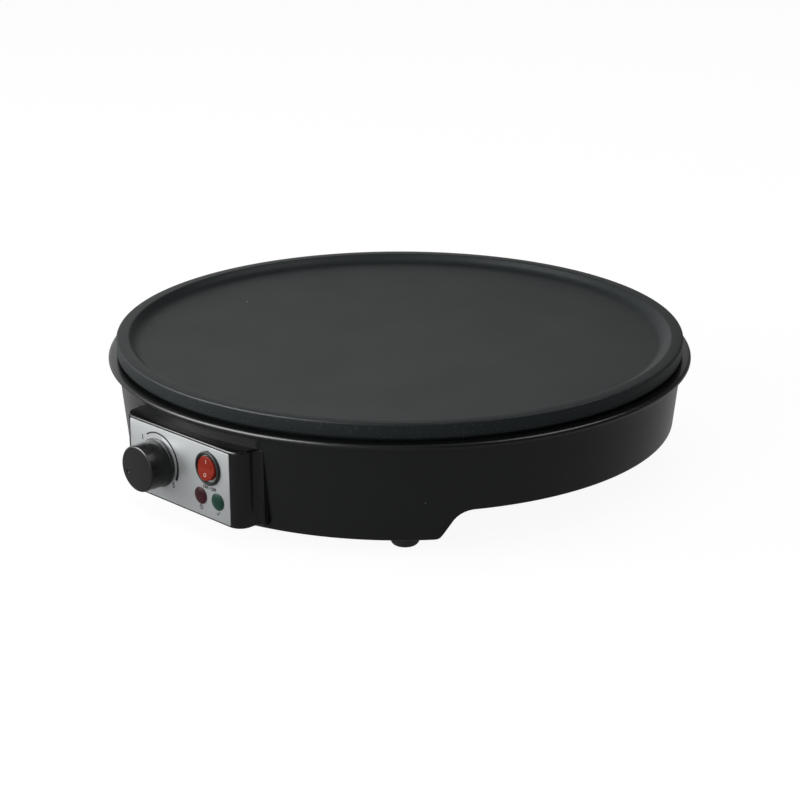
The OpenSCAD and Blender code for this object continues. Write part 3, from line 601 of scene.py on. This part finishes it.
# %% [markdown]
# ## The skirt and its lip
#
# The housing's wall is one moulding: a skirt with a slight draft, so that it leaves its
# mould, and a lip that stands out at the top and ends in a full round. At both sides the
# low edge rises in an S-curve, to make room for the fingers.
#
# The wall is turned like the plate. Then each column of vertices is lifted at its foot by
# the height of the edge there, less and less towards the top, which bends the edge without
# cutting the mesh. A boolean cut would leave long thin faces along the curve instead.

# %% Turn the skirt
LIP_R = lip_r / MM
LIP_TOP = lip_top / MM
LIP_LOW = LIP_TOP - lip_t / MM
SKIRT_LOW = skirt_low / MM
SKIRT_R = (145, 149.7)  # at the low edge and under the lip
WALL = 2.5
WINDOW_HALF, WINDOW_LOW, WINDOW_TOP = 34.6, 13, 46


def skirt_radius(z):
    """Outer radius of the skirt at a height, both in millimetres."""
    return SKIRT_R[0] + (SKIRT_R[1] - SKIRT_R[0]) * (z - SKIRT_LOW) / (LIP_LOW - SKIRT_LOW)


rows = [10, WINDOW_LOW, 18, 24, 30, 36, 41, WINDOW_TOP]
outer = [(skirt_radius(z), z, 0) for z in rows]
inner = [(r - WALL, z, 0) for r, z, soft in reversed(outer)]
skirt_section = (
    [(SKIRT_R[0], SKIRT_LOW, 0.6)] + outer
    + [(SKIRT_R[1], LIP_LOW, 1.0), (LIP_R, LIP_LOW, 1.45), (LIP_R, LIP_TOP, 1.45)]
    + [(SKIRT_R[1] - WALL, LIP_TOP, 0.5)] + inner
    + [(SKIRT_R[0] - WALL, SKIRT_LOW, 0.4)]
)
skirt = turned(skirt_section, steps=720)
print("skirt turned:", len(skirt.faces), "faces")

# %% [markdown]
# The edge's outline is four stretches: flat, a small round, a steep flank, and a wide round
# into the raised edge. The rounds are arcs that touch the straight stretches.

# %% Lift the hand grips
GRIP_EDGE = 21.8
GRIP_FOOT_Y = 90.4
FLANK = math.radians(62)
SHOULDER_R = 10
TOE_R = 2.5
REAR_FROM = 60  # beyond this y, in mm, the rear flank counts
REAR_SHIFT = 7  # it stands this much further from the middle than the front one


def grip_height(y):
    """Height of the skirt's low edge at y, measured along the side, in millimetres."""
    y = y - REAR_SHIFT if y > REAR_FROM else abs(y)
    shoulder_y = GRIP_FOOT_Y - (GRIP_EDGE - SKIRT_LOW) / math.tan(FLANK)
    arc_y = shoulder_y - SHOULDER_R * math.tan(FLANK / 2)
    toe_y = GRIP_FOOT_Y + TOE_R * math.tan(FLANK / 2)
    if y <= arc_y:
        return GRIP_EDGE
    if y < arc_y + SHOULDER_R * math.sin(FLANK):
        return GRIP_EDGE - SHOULDER_R + math.sqrt(SHOULDER_R**2 - (y - arc_y) ** 2)
    if y < toe_y - TOE_R * math.sin(FLANK):
        return SKIRT_LOW + (GRIP_FOOT_Y - y) * math.tan(FLANK)
    if y < toe_y:
        return SKIRT_LOW + TOE_R - math.sqrt(TOE_R**2 - (y - toe_y) ** 2)
    return SKIRT_LOW


FOOT_OF_BEND = 8
for vert in skirt.verts:
    z = vert.co.z / MM
    share = min(max((WINDOW_TOP - z) / (WINDOW_TOP - FOOT_OF_BEND), 0), 1)
    if not share:
        continue
    lifted = z + share * (grip_height(vert.co.y / MM) - SKIRT_LOW)
    growth = (skirt_radius(lifted) - skirt_radius(z)) / skirt_radius(z)
    vert.co = (vert.co.x * (1 + growth), vert.co.y * (1 + growth), lifted * MM)
print("low edge runs from", SKIRT_LOW, "to", GRIP_EDGE, "mm")

# %% [markdown]
# Behind the control box the wall has a window for the switch and the thermostat. The faces
# in that field are deleted from both sides of the wall, and the two borders are bridged.

# %% Open the window behind the box


def in_window(face):
    """True for a face of the wall that lies in the window."""
    spot = face.calc_center_median() / MM
    return spot.y < 0 and abs(spot.x) < WINDOW_HALF and WINDOW_LOW < spot.z < WINDOW_TOP


bmesh.ops.delete(skirt, geom=[f for f in skirt.faces if in_window(f)], context="FACES")
border = [e for e in skirt.edges if e.is_boundary]
bmesh.ops.bridge_loops(skirt, edges=border)
bmesh.ops.recalc_face_normals(skirt, faces=skirt.faces[:])
print("window border:", len(border), "edges")

# %% [markdown]
# The cord entry's gland is screwed against a small flat pad at the rear, because a nut
# can't seat on a curved wall. The pad is turned on its own and copied into the skirt's
# mesh, facing backwards.

# %% Add the rear pad
PAD_Y = 149.4 * MM
face_back = Matrix.Rotation(math.radians(-90), 4, "X")
pad = turned([(0, -8, 0), (0, 0, 0), (11, 0, 0.5), (11, -8, 0)], steps=64)
place(pad, shift(0, PAD_Y, middle("cord_gland").z) @ face_back)
skirt.from_mesh(as_mesh("rear_pad", pad))
make_piece("housing_skirt", skirt, "base", "black_plastic", housing_black, "housing")

# %% [markdown]
# ## The housing's underside
#
# Turned over, the housing shows its floor: a ring round the service opening, ribs that
# stiffen it, bosses that hold the feet and others that carry the plate, and the bay that
# covers the wiring of the control box. These are plain moulded walls, so blocks and drums
# with soft edges are enough.

# %% Build the floor, ribs and bosses
FLOOR_LOW = 24
FLOOR_TOP = 26.5
SERVICE_R = 96
floor_r = skirt_radius(FLOOR_LOW) - WALL + 0.4
under = turned(
    [
        (SERVICE_R, FLOOR_LOW, 0.4), (floor_r, FLOOR_LOW, 0), (floor_r, FLOOR_TOP, 0),
        (SERVICE_R, FLOOR_TOP, 0.4),
    ],
    steps=180,
)
RIBS = 16
RIB_HALF = 0.8
RIB_LOW = 22.3
IN_FLOOR = FLOOR_LOW + 0.2  # ribs and bosses reach a little into the floor
for index in range(RIBS):
    aim = Matrix.Rotation(math.radians((index + 0.5) * 360 / RIBS), 4, "Z")
    add_block(
        under, (108 * MM, -RIB_HALF * MM, RIB_LOW * MM),
        (floor_r * MM, RIB_HALF * MM, IN_FLOOR * MM), soft=0.25 * MM, matrix=aim,
    )
FOOT_RING = 132 * MM
foot_spots = [
    (x * FOOT_RING * math.cos(math.pi / 4), y * FOOT_RING * math.sin(math.pi / 4))
    for x in (-1, 1)
    for y in (-1, 1)
]
for spot in foot_spots:
    add_drum(under, 10 * MM, 8.4 * MM, IN_FLOOR * MM, spot, soft=0.6 * MM)
for spot in post_spots:
    add_drum(under, 7 * MM, 26.4 * MM, 34 * MM, spot, soft=0.4 * MM)
make_piece("housing_floor", under, "base", "black_plastic", housing_black)

# %% [markdown]
# The bay is a shallow tray. A disc as large as the skirt's inside is cut down by three
# planes to the bay's plan, so its front edge already follows the wall. It is extruded, its
# top and front are left open, and solidify gives the rest its thickness.

# %% Build the wiring bay
BAY_HALF = 45.5 * MM
BAY_REAR = -107.5 * MM
BAY_R = 143 * MM
BAY_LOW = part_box("control_box")[0].z
tray = bmesh.new()
bmesh.ops.create_circle(
    tray, cap_ends=True, segments=256, radius=BAY_R, matrix=shift(0, 0, BAY_LOW)
)
for point, normal in (
    ((0, BAY_REAR, 0), (0, 1, 0)), ((BAY_HALF, 0, 0), (1, 0, 0)), ((-BAY_HALF, 0, 0), (-1, 0, 0))
):
    bmesh.ops.bisect_plane(
        tray, geom=tray.verts[:] + tray.edges[:] + tray.faces[:], plane_co=point,
        plane_no=normal, clear_outer=True,
    )
raise_up(tray, IN_FLOOR * MM - BAY_LOW)


def open_face(face):
    """True for the tray's top and for the curved front that the skirt closes."""
    spot = face.calc_center_median()
    flat_lying = abs(face.normal.z) > 0.5
    curved = spot.xy.length > BAY_R - 0.5 * MM and not flat_lying
    return curved or (flat_lying and spot.z > 20 * MM)


bmesh.ops.delete(tray, geom=[f for f in tray.faces if open_face(f)], context="FACES")
soften(tray, [e for e in tray.edges if not e.is_boundary], 1.5 * MM, 4)
bmesh.ops.solidify(tray, geom=tray.faces[:], thickness=2.2 * MM)
bmesh.ops.recalc_face_normals(tray, faces=tray.faces[:])
make_piece("wiring_bay", tray, "base", "black_plastic", housing_black)

# %% [markdown]
# ## The feet
#
# Soft rubber plugs, pushed into the bosses: a rounded tread that widens to a collar. One
# section, turned four times.

# %% Turn the feet
foot_names = ("foot_front_left", "foot_rear_left", "foot_front_right", "foot_rear_right")
foot_section = [
    (0, 0, 0), (6.6, 0, 2.6), (7.6, 5.5, 2), (8.2, 8.4, 0), (3, 8.4, 0), (3, 17, 0), (0, 17, 0)
]
for foot_name, spot in zip(foot_names, foot_spots):
    foot = turned(foot_section, steps=64)
    place(foot, shift(spot[0], spot[1], 0))
    make_piece("rubber_" + foot_name, foot, "base", "black_rubber", rubber, foot_name)

# %% [markdown]
# ## The control box
#
# Seen from above, the box is a rectangle with round front corners whose sides flare out in
# a hollow curve where they meet the skirt. The plan is drawn as one face, its corners are
# beveled round, and it is extruded upwards. Then the two long edges are softened, the lower
# one more. Bevel's own limit, clamp_overlap, is off there: the plan's shortest stretches
# would stop it, and the edge would stay sharp and lose its thin highlight.

# %% Draw the box's plan and raise it
box_low, box_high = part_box("control_box")
BOX_HALF = 43.2
CORNER_R = 7.6
HOLLOW_R = 4
HOLLOW_TURN = math.radians(72)  # how far the hollow curve turns before it meets the skirt
wall_r = skirt_radius(box_high.z / MM)
meet_x = BOX_HALF + HOLLOW_R * (1 - math.cos(HOLLOW_TURN))
meet_y = -math.sqrt(wall_r**2 - meet_x**2)
bend_y = meet_y - HOLLOW_R * (math.sin(HOLLOW_TURN) - math.tan(HOLLOW_TURN / 2))
end_x = meet_x + 0.6  # a little inside the skirt's wall
half = [
    (BOX_HALF, box_low.y / MM, CORNER_R), (BOX_HALF, bend_y, HOLLOW_R),
    (end_x, meet_y + 0.2, 0), (end_x, meet_y + 3, 0),
]
outline = half + [(-x, y, soft) for x, y, soft in reversed(half)]
plan = soft_face(
    [(x * MM, y * MM, box_low.z) for x, y, soft in outline],
    [soft * MM for x, y, soft in outline], segments=14,
)
raise_up(plan, box_high.z - box_low.z)


def on_rim(edge, height):
    """True for an edge of the box's outline at a height that can be seen."""
    level = max(abs(v.co.z - height) for v in edge.verts) < SAME
    return level and max(v.co.y for v in edge.verts) < (meet_y + 0.1) * MM


for height, soft in ((box_high.z, 1.1), (box_low.z, 1.5)):
    rim_edges = [e for e in plan.edges if on_rim(e, height)]
    soften(plan, rim_edges, soft * MM, 5, clamp_overlap=False)
make_piece("box_shell", plan, "base", "black_plastic", box_black, "control_box")

# %% [markdown]
# ## The panel
#
# A thin silver plate let into the front of the box. It could have a hole for each part
# that comes through, but these holes lie under the knob, the bezel and the lenses, so one
# slab with round corners and a fine bevel looks the same.

# %% Make the panel
panel = bmesh.new()
add_block(panel, panel_low, panel_high)
corners = [e for e in panel.edges if abs(e.verts[0].co.y - e.verts[1].co.y) > SAME]
soften(panel, corners, 0.8 * MM, 4)
front = [e for e in panel.edges if max(v.co.y for v in e.verts) < panel_y + SAME]
soften(panel, front, 0.15 * MM, 2)
make_piece("silver_panel", panel, "base", "silver_panel", panel_silver, "control_panel")

# %% [markdown]
# ## The knob
#
# A plain cap with a narrow ring at its foot, a slight taper and a soft front edge. The
# pointer is one small dimple. A hole off the axis can't be turned, so a boolean presses it
# in, and the result becomes the piece's own mesh.

# %% Turn the knob
KNOB = middle("thermostat_knob")
knob_front_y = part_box("thermostat_knob")[0].y
knob_foot_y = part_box("thermostat_knob")[1].y
KNOB_R = width("thermostat_knob") / 2 / MM
KNOB_LEN = (knob_foot_y - knob_front_y) / MM
FLANGE_R = KNOB_R + 0.45  # the ring at the foot
FACE_R = KNOB_R - 0.25
POINTER_AT = math.radians(202)
POINTER_R = 7.6 * MM  # from the knob's axis
knob = turned(
    [
        (0, 2, 0), (8.5, 2, 0.3), (8.5, 0, 0.2), (FLANGE_R, 0, 0.2), (FLANGE_R, 1.0, 0.3),
        (KNOB_R, 1.2, 0.15), (FACE_R, KNOB_LEN, 0.9), (0, KNOB_LEN, 0),
    ],
    steps=128, segments=8,
)
place(knob, shift(KNOB.x, knob_foot_y, KNOB.z) @ FACE_FRONT)
knob_piece = make_piece("dial_knob", knob, "knob", "knob_plastic", knob_grey, "thermostat_knob")

# %% Press in the pointer
dimple = turned([(0, -0.7, 0), (0.9, -0.5, 0.3), (1.1, 0.4, 0), (0, 0.4, 0)], steps=24)
dimple_x = KNOB.x + POINTER_R * math.cos(POINTER_AT)
dimple_z = KNOB.z + POINTER_R * math.sin(POINTER_AT)
place(dimple, shift(dimple_x, knob_front_y, dimple_z) @ FACE_FRONT)
cutter = bpy.data.objects.new("dimple", as_mesh("dimple", dimple))
scene.collection.objects.link(cutter)
cut = knob_piece.modifiers.new("dimple", "BOOLEAN")
cut.object = cutter
cut.operation = "DIFFERENCE"
shaped = settled_mesh(knob_piece)
knob_piece.modifiers.clear()
knob_piece.data = shaped
shaped.set_sharp_from_angle(angle=math.radians(CREASE))
bpy.data.objects.remove(cutter)
print("knob with pointer:", len(shaped.polygons), "faces")

# %% [markdown]
# ## The rocker switch
#
# A round bezel with a soft edge and a small key at its top, and a red rocker whose two
# faces meet in a shallow valley. The rocker starts as a disc. It is extruded, cut along its
# middle, and the vertices of its face move out in proportion to their distance from the
# valley. It is made level and then tilted about its pivot, as it stands with the switch on.

# %% Turn the bezel
# The switch and the lenses stand a hair further right in the photograph than in the CAD.
SET_RIGHT = 0.45 * MM
BEZEL = middle("switch_body")
BEZEL.x += SET_RIGHT
BEZEL_R = 8.6
PROUD = 1.5
BORE_R = 6.95
BODY_R = 7.7
bezel = turned(
    [
        (BORE_R, -8, 0), (BORE_R, 0.8, 0.3), (7.3, PROUD, 0.3), (BEZEL_R, PROUD, 0.8),
        (BEZEL_R, 0, 0), (BODY_R, 0, 0), (BODY_R, -14, 0.4), (0, -14, 0), (0, -10.5, 0),
        (BORE_R, -10.5, 0),
    ],
    steps=96,
)
place(bezel, shift(BEZEL.x, panel_y, BEZEL.z) @ FACE_FRONT)
KEY_HALF = 0.7 * MM
add_block(
    bezel, (BEZEL.x - KEY_HALF, panel_y - 0.9 * MM, BEZEL.z + 8.2 * MM),
    (BEZEL.x + KEY_HALF, panel_y, BEZEL.z + 9.0 * MM), soft=0.2 * MM,
)
make_piece("switch_bezel", bezel, "base", "switch_black", switch_black, "switch_body")

# %% Shape the rocker
ROCKER_R = 6.1 * MM
HALF_TRAVEL = math.radians(7)
PIVOT = Vector((BEZEL.x, panel_y + 1.3 * MM, BEZEL.z))
FACE_OUT = 2.9 * MM  # from the pivot to the valley of the face
BEHIND = 1.8 * MM  # from the pivot to the rocker's back
DEPTH = FACE_OUT + BEHIND
rocker = bmesh.new()
bmesh.ops.create_circle(rocker, cap_ends=True, segments=64, radius=ROCKER_R)
raise_up(rocker, DEPTH)
bmesh.ops.bisect_plane(
    rocker, geom=rocker.verts[:] + rocker.edges[:] + rocker.faces[:], plane_co=(0, 0, 0),
    plane_no=(0, 1, 0),
)
for vert in rocker.verts:
    if vert.co.z > DEPTH / 2:
        vert.co.z += abs(vert.co.y) * math.tan(HALF_TRAVEL)
crown = [e for e in rocker.edges if min(v.co.z for v in e.verts) > DEPTH / 2]
soften(rocker, [e for e in crown if e.calc_face_angle(0) > math.radians(40)], 0.45 * MM, 4)
rocker_place = Matrix.Translation(PIVOT) @ Matrix.Rotation(-HALF_TRAVEL, 4, "X")
rocker_to_front = rocker_place @ shift(0, BEHIND, 0) @ FACE_FRONT
place(rocker, rocker_to_front)
make_piece("red_rocker", rocker, "rocker", "red_rocker", rocker_red, "switch_rocker", crease=20)

# %% [markdown]
# ## Lenses
#
# Two low domes with a narrow foot ring. A dome could be a sphere cut flat, but the lathe
# gives the ring and the dome in one section, and it is turned twice, in two colours.

# %% Turn the lenses
LENS_R = width("power_lens") / 2 / MM
for lens_node, slot, look in (
    ("power_lens", "red_lens", lens_red), ("ready_lens", "green_lens", lens_green)
):
    spot = middle(lens_node)
    lens = turned(
        [
            (0, -7, 0), (3.8, -7, 0.3), (3.8, 0, 0), (LENS_R, 0, 0), (LENS_R, 0.45, 0.3),
            (2.3, 1.15, 5), (0, 1.2, 0),
        ],
        steps=64, segments=10,
    )
    place(lens, shift(spot.x + SET_RIGHT, panel_y, spot.z) @ FACE_FRONT)
    make_piece("dome_" + lens_node, lens, "base", slot, look, lens_node)

# %% [markdown]
# ## Print
#
# The panel's print is ink, far thinner than paint. As a texture it would need a picture, so
# it is made as flat shapes that stand a twentieth of a millimetre off the panel: an arc
# that grows thicker towards the hot end, plain numbers at its ends, the switch's words, and
# two small signs under the lenses. Text starts as a font curve, which is filled and made a
# mesh before it is put in its place.

# %% Write the print helpers
INK_UP = 0.05 * MM
INK_DEEP = 0.03 * MM
BOLDER = 0.09 * MM  # letters grow by this on every side, as ink spreads


def thicken(bm):
    """Gives a flat shape the depth of ink."""
    bmesh.ops.solidify(bm, geom=bm.faces[:], thickness=INK_DEEP)
    bmesh.ops.recalc_face_normals(bm, faces=bm.faces[:])


def flat_ring(inner_r, outer_r, start, stop, steps=64):
    """A flat ring or part of one round the origin, facing +Z. Its outer edge may change."""
    bm = bmesh.new()
    first = None
    for index in range(steps + 1):
        share = index / steps
        angle = math.radians(start + (stop - start) * share)
        out_r = outer_r(share) if callable(outer_r) else outer_r
        ray = Vector((math.cos(angle), math.sin(angle), 0))
        pair = [bm.verts.new(ray * inner_r * MM), bm.verts.new(ray * out_r * MM)]
        if first is not None:
            bm.faces.new((first[0], first[1], pair[1], pair[0]))
        first = pair
    bmesh.ops.remove_doubles(bm, verts=bm.verts[:], dist=WELD)
    bmesh.ops.recalc_face_normals(bm, faces=bm.faces[:])
    return bm


def words(text, height):
    """Flat letters round the origin, facing +Z, as a bmesh. Height is in millimetres."""
    curve = bpy.data.curves.new("ink", "FONT")
    curve.body = text
    curve.size = height / 0.7 * MM  # a capital letter is 0.7 of the font's size
    curve.offset = BOLDER
    curve.align_x = "CENTER"
    curve.align_y = "CENTER"
    carrier = bpy.data.objects.new("ink", curve)
    scene.collection.objects.link(carrier)
    bm = bmesh.new()
    bm.from_mesh(settled_mesh(carrier))
    bpy.data.objects.remove(carrier)
    return bm


def ink(name, bm, x, z):
    """Prints a flat shape on the panel at a place given in metres."""
    thicken(bm)
    place(bm, shift(x, panel_y - INK_UP, z) @ FACE_FRONT)
    make_piece(name, bm, "base", "silver_panel", print_black)


print("print helpers ready")

# %% Print the dial and the words
ARC_R = 14.0
ARC_ENDS = (125, -28)  # degrees, from the cold end to the hot end
ARC_Z = KNOB.z + 0.8 * MM
NUMBER_R = 14.9 * MM


def arc_edge(share):
    """Outer radius of the arc in millimetres: it grows thicker towards the hot end."""
    return ARC_R + 0.7 + share**2


ink("dial_arc", flat_ring(ARC_R, arc_edge, *ARC_ENDS), KNOB.x, ARC_Z)
for text, angle in (("1", 141), ("5", -43)):
    turn_to = math.radians(angle)
    ink(
        "dial_number_" + text, words(text, 2.7), KNOB.x + NUMBER_R * math.cos(turn_to),
        ARC_Z + NUMBER_R * math.sin(turn_to),
    )
WORDS_Z = 26.6 * MM
ink("switch_words", words("ON / OFF", 1.6), BEZEL.x + 0.4 * MM, WORDS_Z)

# %% [markdown]
# The signs under the lenses are the usual ones: a broken ring with a bar for power, and a
# tick for ready. The bar and the two strokes of the tick are thin blocks.

# %% Print the signs
SIGN_Z = 15.2 * MM
STROKE_HALF = 0.2 * MM
STROKE_DEEP = 0.02 * MM
POWER_X = middle("power_lens").x + SET_RIGHT
READY_X = middle("ready_lens").x + SET_RIGHT
ink("power_sign_ring", flat_ring(0.85, 1.25, 125, 415, 40), POWER_X, SIGN_Z)
bar = bmesh.new()
add_block(bar, (-STROKE_HALF, 0.1 * MM, 0), (STROKE_HALF, 1.6 * MM, STROKE_DEEP))
ink("power_sign_bar", bar, POWER_X, SIGN_Z)
tick = bmesh.new()
tick_foot = shift(-0.3 * MM, -1.0 * MM, 0)
for length, lean in ((1.3, 45), (2.4, -35)):
    add_block(
        tick, (-STROKE_HALF, 0, 0), (STROKE_HALF, length * MM, STROKE_DEEP),
        matrix=tick_foot @ Matrix.Rotation(math.radians(lean), 4, "Z"),
    )
ink("ready_sign", tick, READY_X, SIGN_Z)

# %% [markdown]
# The rocker's two marks are printed on its tilted faces, so they are placed with the
# rocker's own matrix and ride on its body.

# %% Print the rocker's marks
MARK_UP = 3.3 * MM  # from the valley to the middle of a mark
height = DEPTH + MARK_UP * math.tan(HALF_TRAVEL) + INK_UP
for name, mark, way in (
    ("mark_on", words("I", 1.9), 1), ("mark_off", flat_ring(0.68, 0.94, 0, 360), -1)
):
    thicken(mark)
    lean = Matrix.Rotation(way * HALF_TRAVEL, 4, "X")
    place(mark, rocker_to_front @ shift(0, way * MARK_UP, height) @ lean)
    make_piece(name, mark, "rocker", "red_rocker", print_white)

# %% [markdown]
# ## Floor and backdrop
#
# The object stands on a white floor that has no edge. More light would make it white, but
# would wash out the object. So for the camera the floor gives off nearly white light of its
# own, and a thin share of real light lets the object keep a faint shadow. Reflections and
# glass see it too, only dimmer, because a floor that reflects at full strength would turn
# the black plastic grey. For all other rays it is plain pale paint, which sends soft light
# back up under the skirt.

# %% Lay the floor
FLOOR_GLOW = 0.35  # its own light, seen by the camera and by reflections
CAMERA_GLOW = 0.58  # added to it for the camera
THIN_LIGHT = (0.18, 0.18, 0.18, 1)  # the colour of the thin share of real light
PALE_PAINT = (0.6, 0.6, 0.6, 1)
sheet = bmesh.new()
bmesh.ops.create_grid(sheet, x_segments=1, y_segments=1, size=4)
floor = bpy.data.objects.new("floor", as_mesh("floor", sheet))
scene.collection.objects.link(floor)


def seen_ray(tree):
    """1 for a ray of the camera, of a reflection or through glass, else 0."""
    rays = add(tree, "ShaderNodeLightPath")
    seen = maths(tree, "MAXIMUM", rays.outputs["Is Camera Ray"], rays.outputs["Is Glossy Ray"])
    return maths(tree, "MAXIMUM", seen, rays.outputs["Is Transmission Ray"])


def white_floor():
    """Paint that looks white and evenly lit when seen, but still takes a shadow."""
    material = bpy.data.materials.new("floor_white")
    material.use_nodes = True
    tree = material.node_tree
    tree.nodes.clear()
    paint = add(tree, "ShaderNodeBsdfDiffuse")
    paint.inputs["Color"].default_value = PALE_PAINT
    glow = add(tree, "ShaderNodeEmission")
    eye = add(tree, "ShaderNodeLightPath")
    level = maths(tree, "MULTIPLY", eye.outputs["Is Camera Ray"], CAMERA_GLOW)
    tree.links.new(maths(tree, "ADD", level, FLOOR_GLOW), glow.inputs["Strength"])
    thin = add(tree, "ShaderNodeBsdfDiffuse")
    thin.inputs["Color"].default_value = THIN_LIGHT
    seen = add(tree, "ShaderNodeAddShader")
    tree.links.new(glow.outputs[0], seen.inputs[0])
    tree.links.new(thin.outputs[0], seen.inputs[1])
    choose = add(tree, "ShaderNodeMixShader")
    tree.links.new(seen_ray(tree), choose.inputs["Fac"])
    tree.links.new(paint.outputs[0], choose.inputs[1])
    tree.links.new(seen.outputs[0], choose.inputs[2])
    leave = add(tree, "ShaderNodeOutputMaterial")
    tree.links.new(choose.outputs[0], leave.inputs["Surface"])
    return material


floor.data.materials.append(white_floor())
print("floor laid")

# %% [markdown]
# ## Light
#
# Product photographs use a few large soft boxes. Here one stands low at the front left,
# one hangs overhead and one fills the front. Black plastic shows mostly what it reflects,
# and the long highlights along the lip are reflections of bright cards. A lamp that strong
# would bleach the plate and the panel, so the two cards are lamps that only reflections
# see: their light on matt surfaces is switched off.

# %% Hang the lamps
MIDDLE = (0, 0, 0.04)  # what most lamps look at


def soft_box(name, spot, aim_at, size, watts):
    """A rectangular area lamp that looks at a point."""
    data = bpy.data.lights.new(name, "AREA")
    data.shape = "RECTANGLE"
    data.size, data.size_y = size
    data.energy = watts
    lamp = bpy.data.objects.new(name, data)
    lamp.location = spot
    lamp.rotation_euler = (Vector(aim_at) - Vector(spot)).to_track_quat("-Z", "Y").to_euler()
    scene.collection.objects.link(lamp)
    return lamp


soft_box("front_left", (-0.96, -0.95, 0.34), MIDDLE, (0.7, 0.5), 7)
soft_box("overhead", (0, 0.2, 1.6), (0, 0, 0), (1.6, 1.6), 4)
soft_box("front_fill", (0.1, -1.6, 0.45), MIDDLE, (1.0, 0.8), 6)
for card in (
    soft_box("glint_card", (-0.45, -0.85, 0.87), MIDDLE, (1.1, 0.9), 56),
    soft_box("rim_card", (0.6, 0.45, 1.03), MIDDLE, (0.95, 0.5), 9),
):
    card.visible_diffuse = False

# %% [markdown]
# The world is white to the camera. In reflections it is the backdrop of a studio: bright at
# the horizon, darker above, and dark to the right of the picture. As a source of light it
# is only a dim grey. All of this is worked out from the direction of the ray, which the
# Generated output gives in a world.

# %% Paint the world
DIM = 0.2
RIGHT = (0.72, 0.69, 0)


def smooth_ramp(tree, value, start, stop, first, last):
    """Goes smoothly from first to last while a value goes from start to stop."""
    ramp = add(tree, "ShaderNodeMapRange", interpolation_type="SMOOTHSTEP")
    labels = ("From Min", "From Max", "To Min", "To Max")
    for label, number in zip(labels, (start, stop, first, last)):
        ramp.inputs[label].default_value = number
    tree.links.new(value, ramp.inputs["Value"])
    return ramp.outputs["Result"]


world = bpy.data.worlds.new("studio")
scene.world = world
world.use_nodes = True
sky = world.node_tree
background = sky.nodes["Background"]
background.inputs["Color"].default_value = (1, 1, 1, 1)
ray_way = add(sky, "ShaderNodeTexCoord")
part = add(sky, "ShaderNodeSeparateXYZ")
sky.links.new(ray_way.outputs["Generated"], part.inputs["Vector"])
backdrop = smooth_ramp(sky, part.outputs["Z"], 0.22, 0.7, 1.0, 0.08)
side = add(sky, "ShaderNodeVectorMath", operation="DOT_PRODUCT")
side.inputs[1].default_value = RIGHT
sky.links.new(ray_way.outputs["Generated"], side.inputs[0])
fade = smooth_ramp(sky, side.outputs["Value"], -0.15, 0.4, 1.05, 0.15)
lit = maths(sky, "MULTIPLY", backdrop, fade)
eye = add(sky, "ShaderNodeLightPath")
white = maths(sky, "MAXIMUM", lit, eye.outputs["Is Camera Ray"])
above_dim = maths(sky, "SUBTRACT", white, DIM)
level = maths(sky, "ADD", maths(sky, "MULTIPLY", above_dim, seen_ray(sky)), DIM)
sky.links.new(level, background.inputs["Strength"])
scene.view_settings.view_transform = "Standard"
print("world:", world.name, "with", len(sky.nodes), "nodes")

# %% [markdown]
# ## Camera
#
# The camera could be turned by hand until the picture looks right. This one was fitted: to
# the plate's ellipse, the lip, the box's corners and the foot of the photograph. It stands
# about a metre away, to the right of the control panel, and looks down at about twenty
# degrees.

# %% Set the camera
camera_data = bpy.data.cameras.new("camera")
camera_data.sensor_width = 36
camera_data.lens = 88.37
camera = bpy.data.objects.new("camera", camera_data)
camera.location = (0.6929, -0.7201, 0.3848)
camera.rotation_euler = (math.radians(70.25), 0, math.radians(43.89))
scene.collection.objects.link(camera)
scene.camera = camera
print("camera", round(Vector(camera.location).length, 2), "m from the middle of the counter")
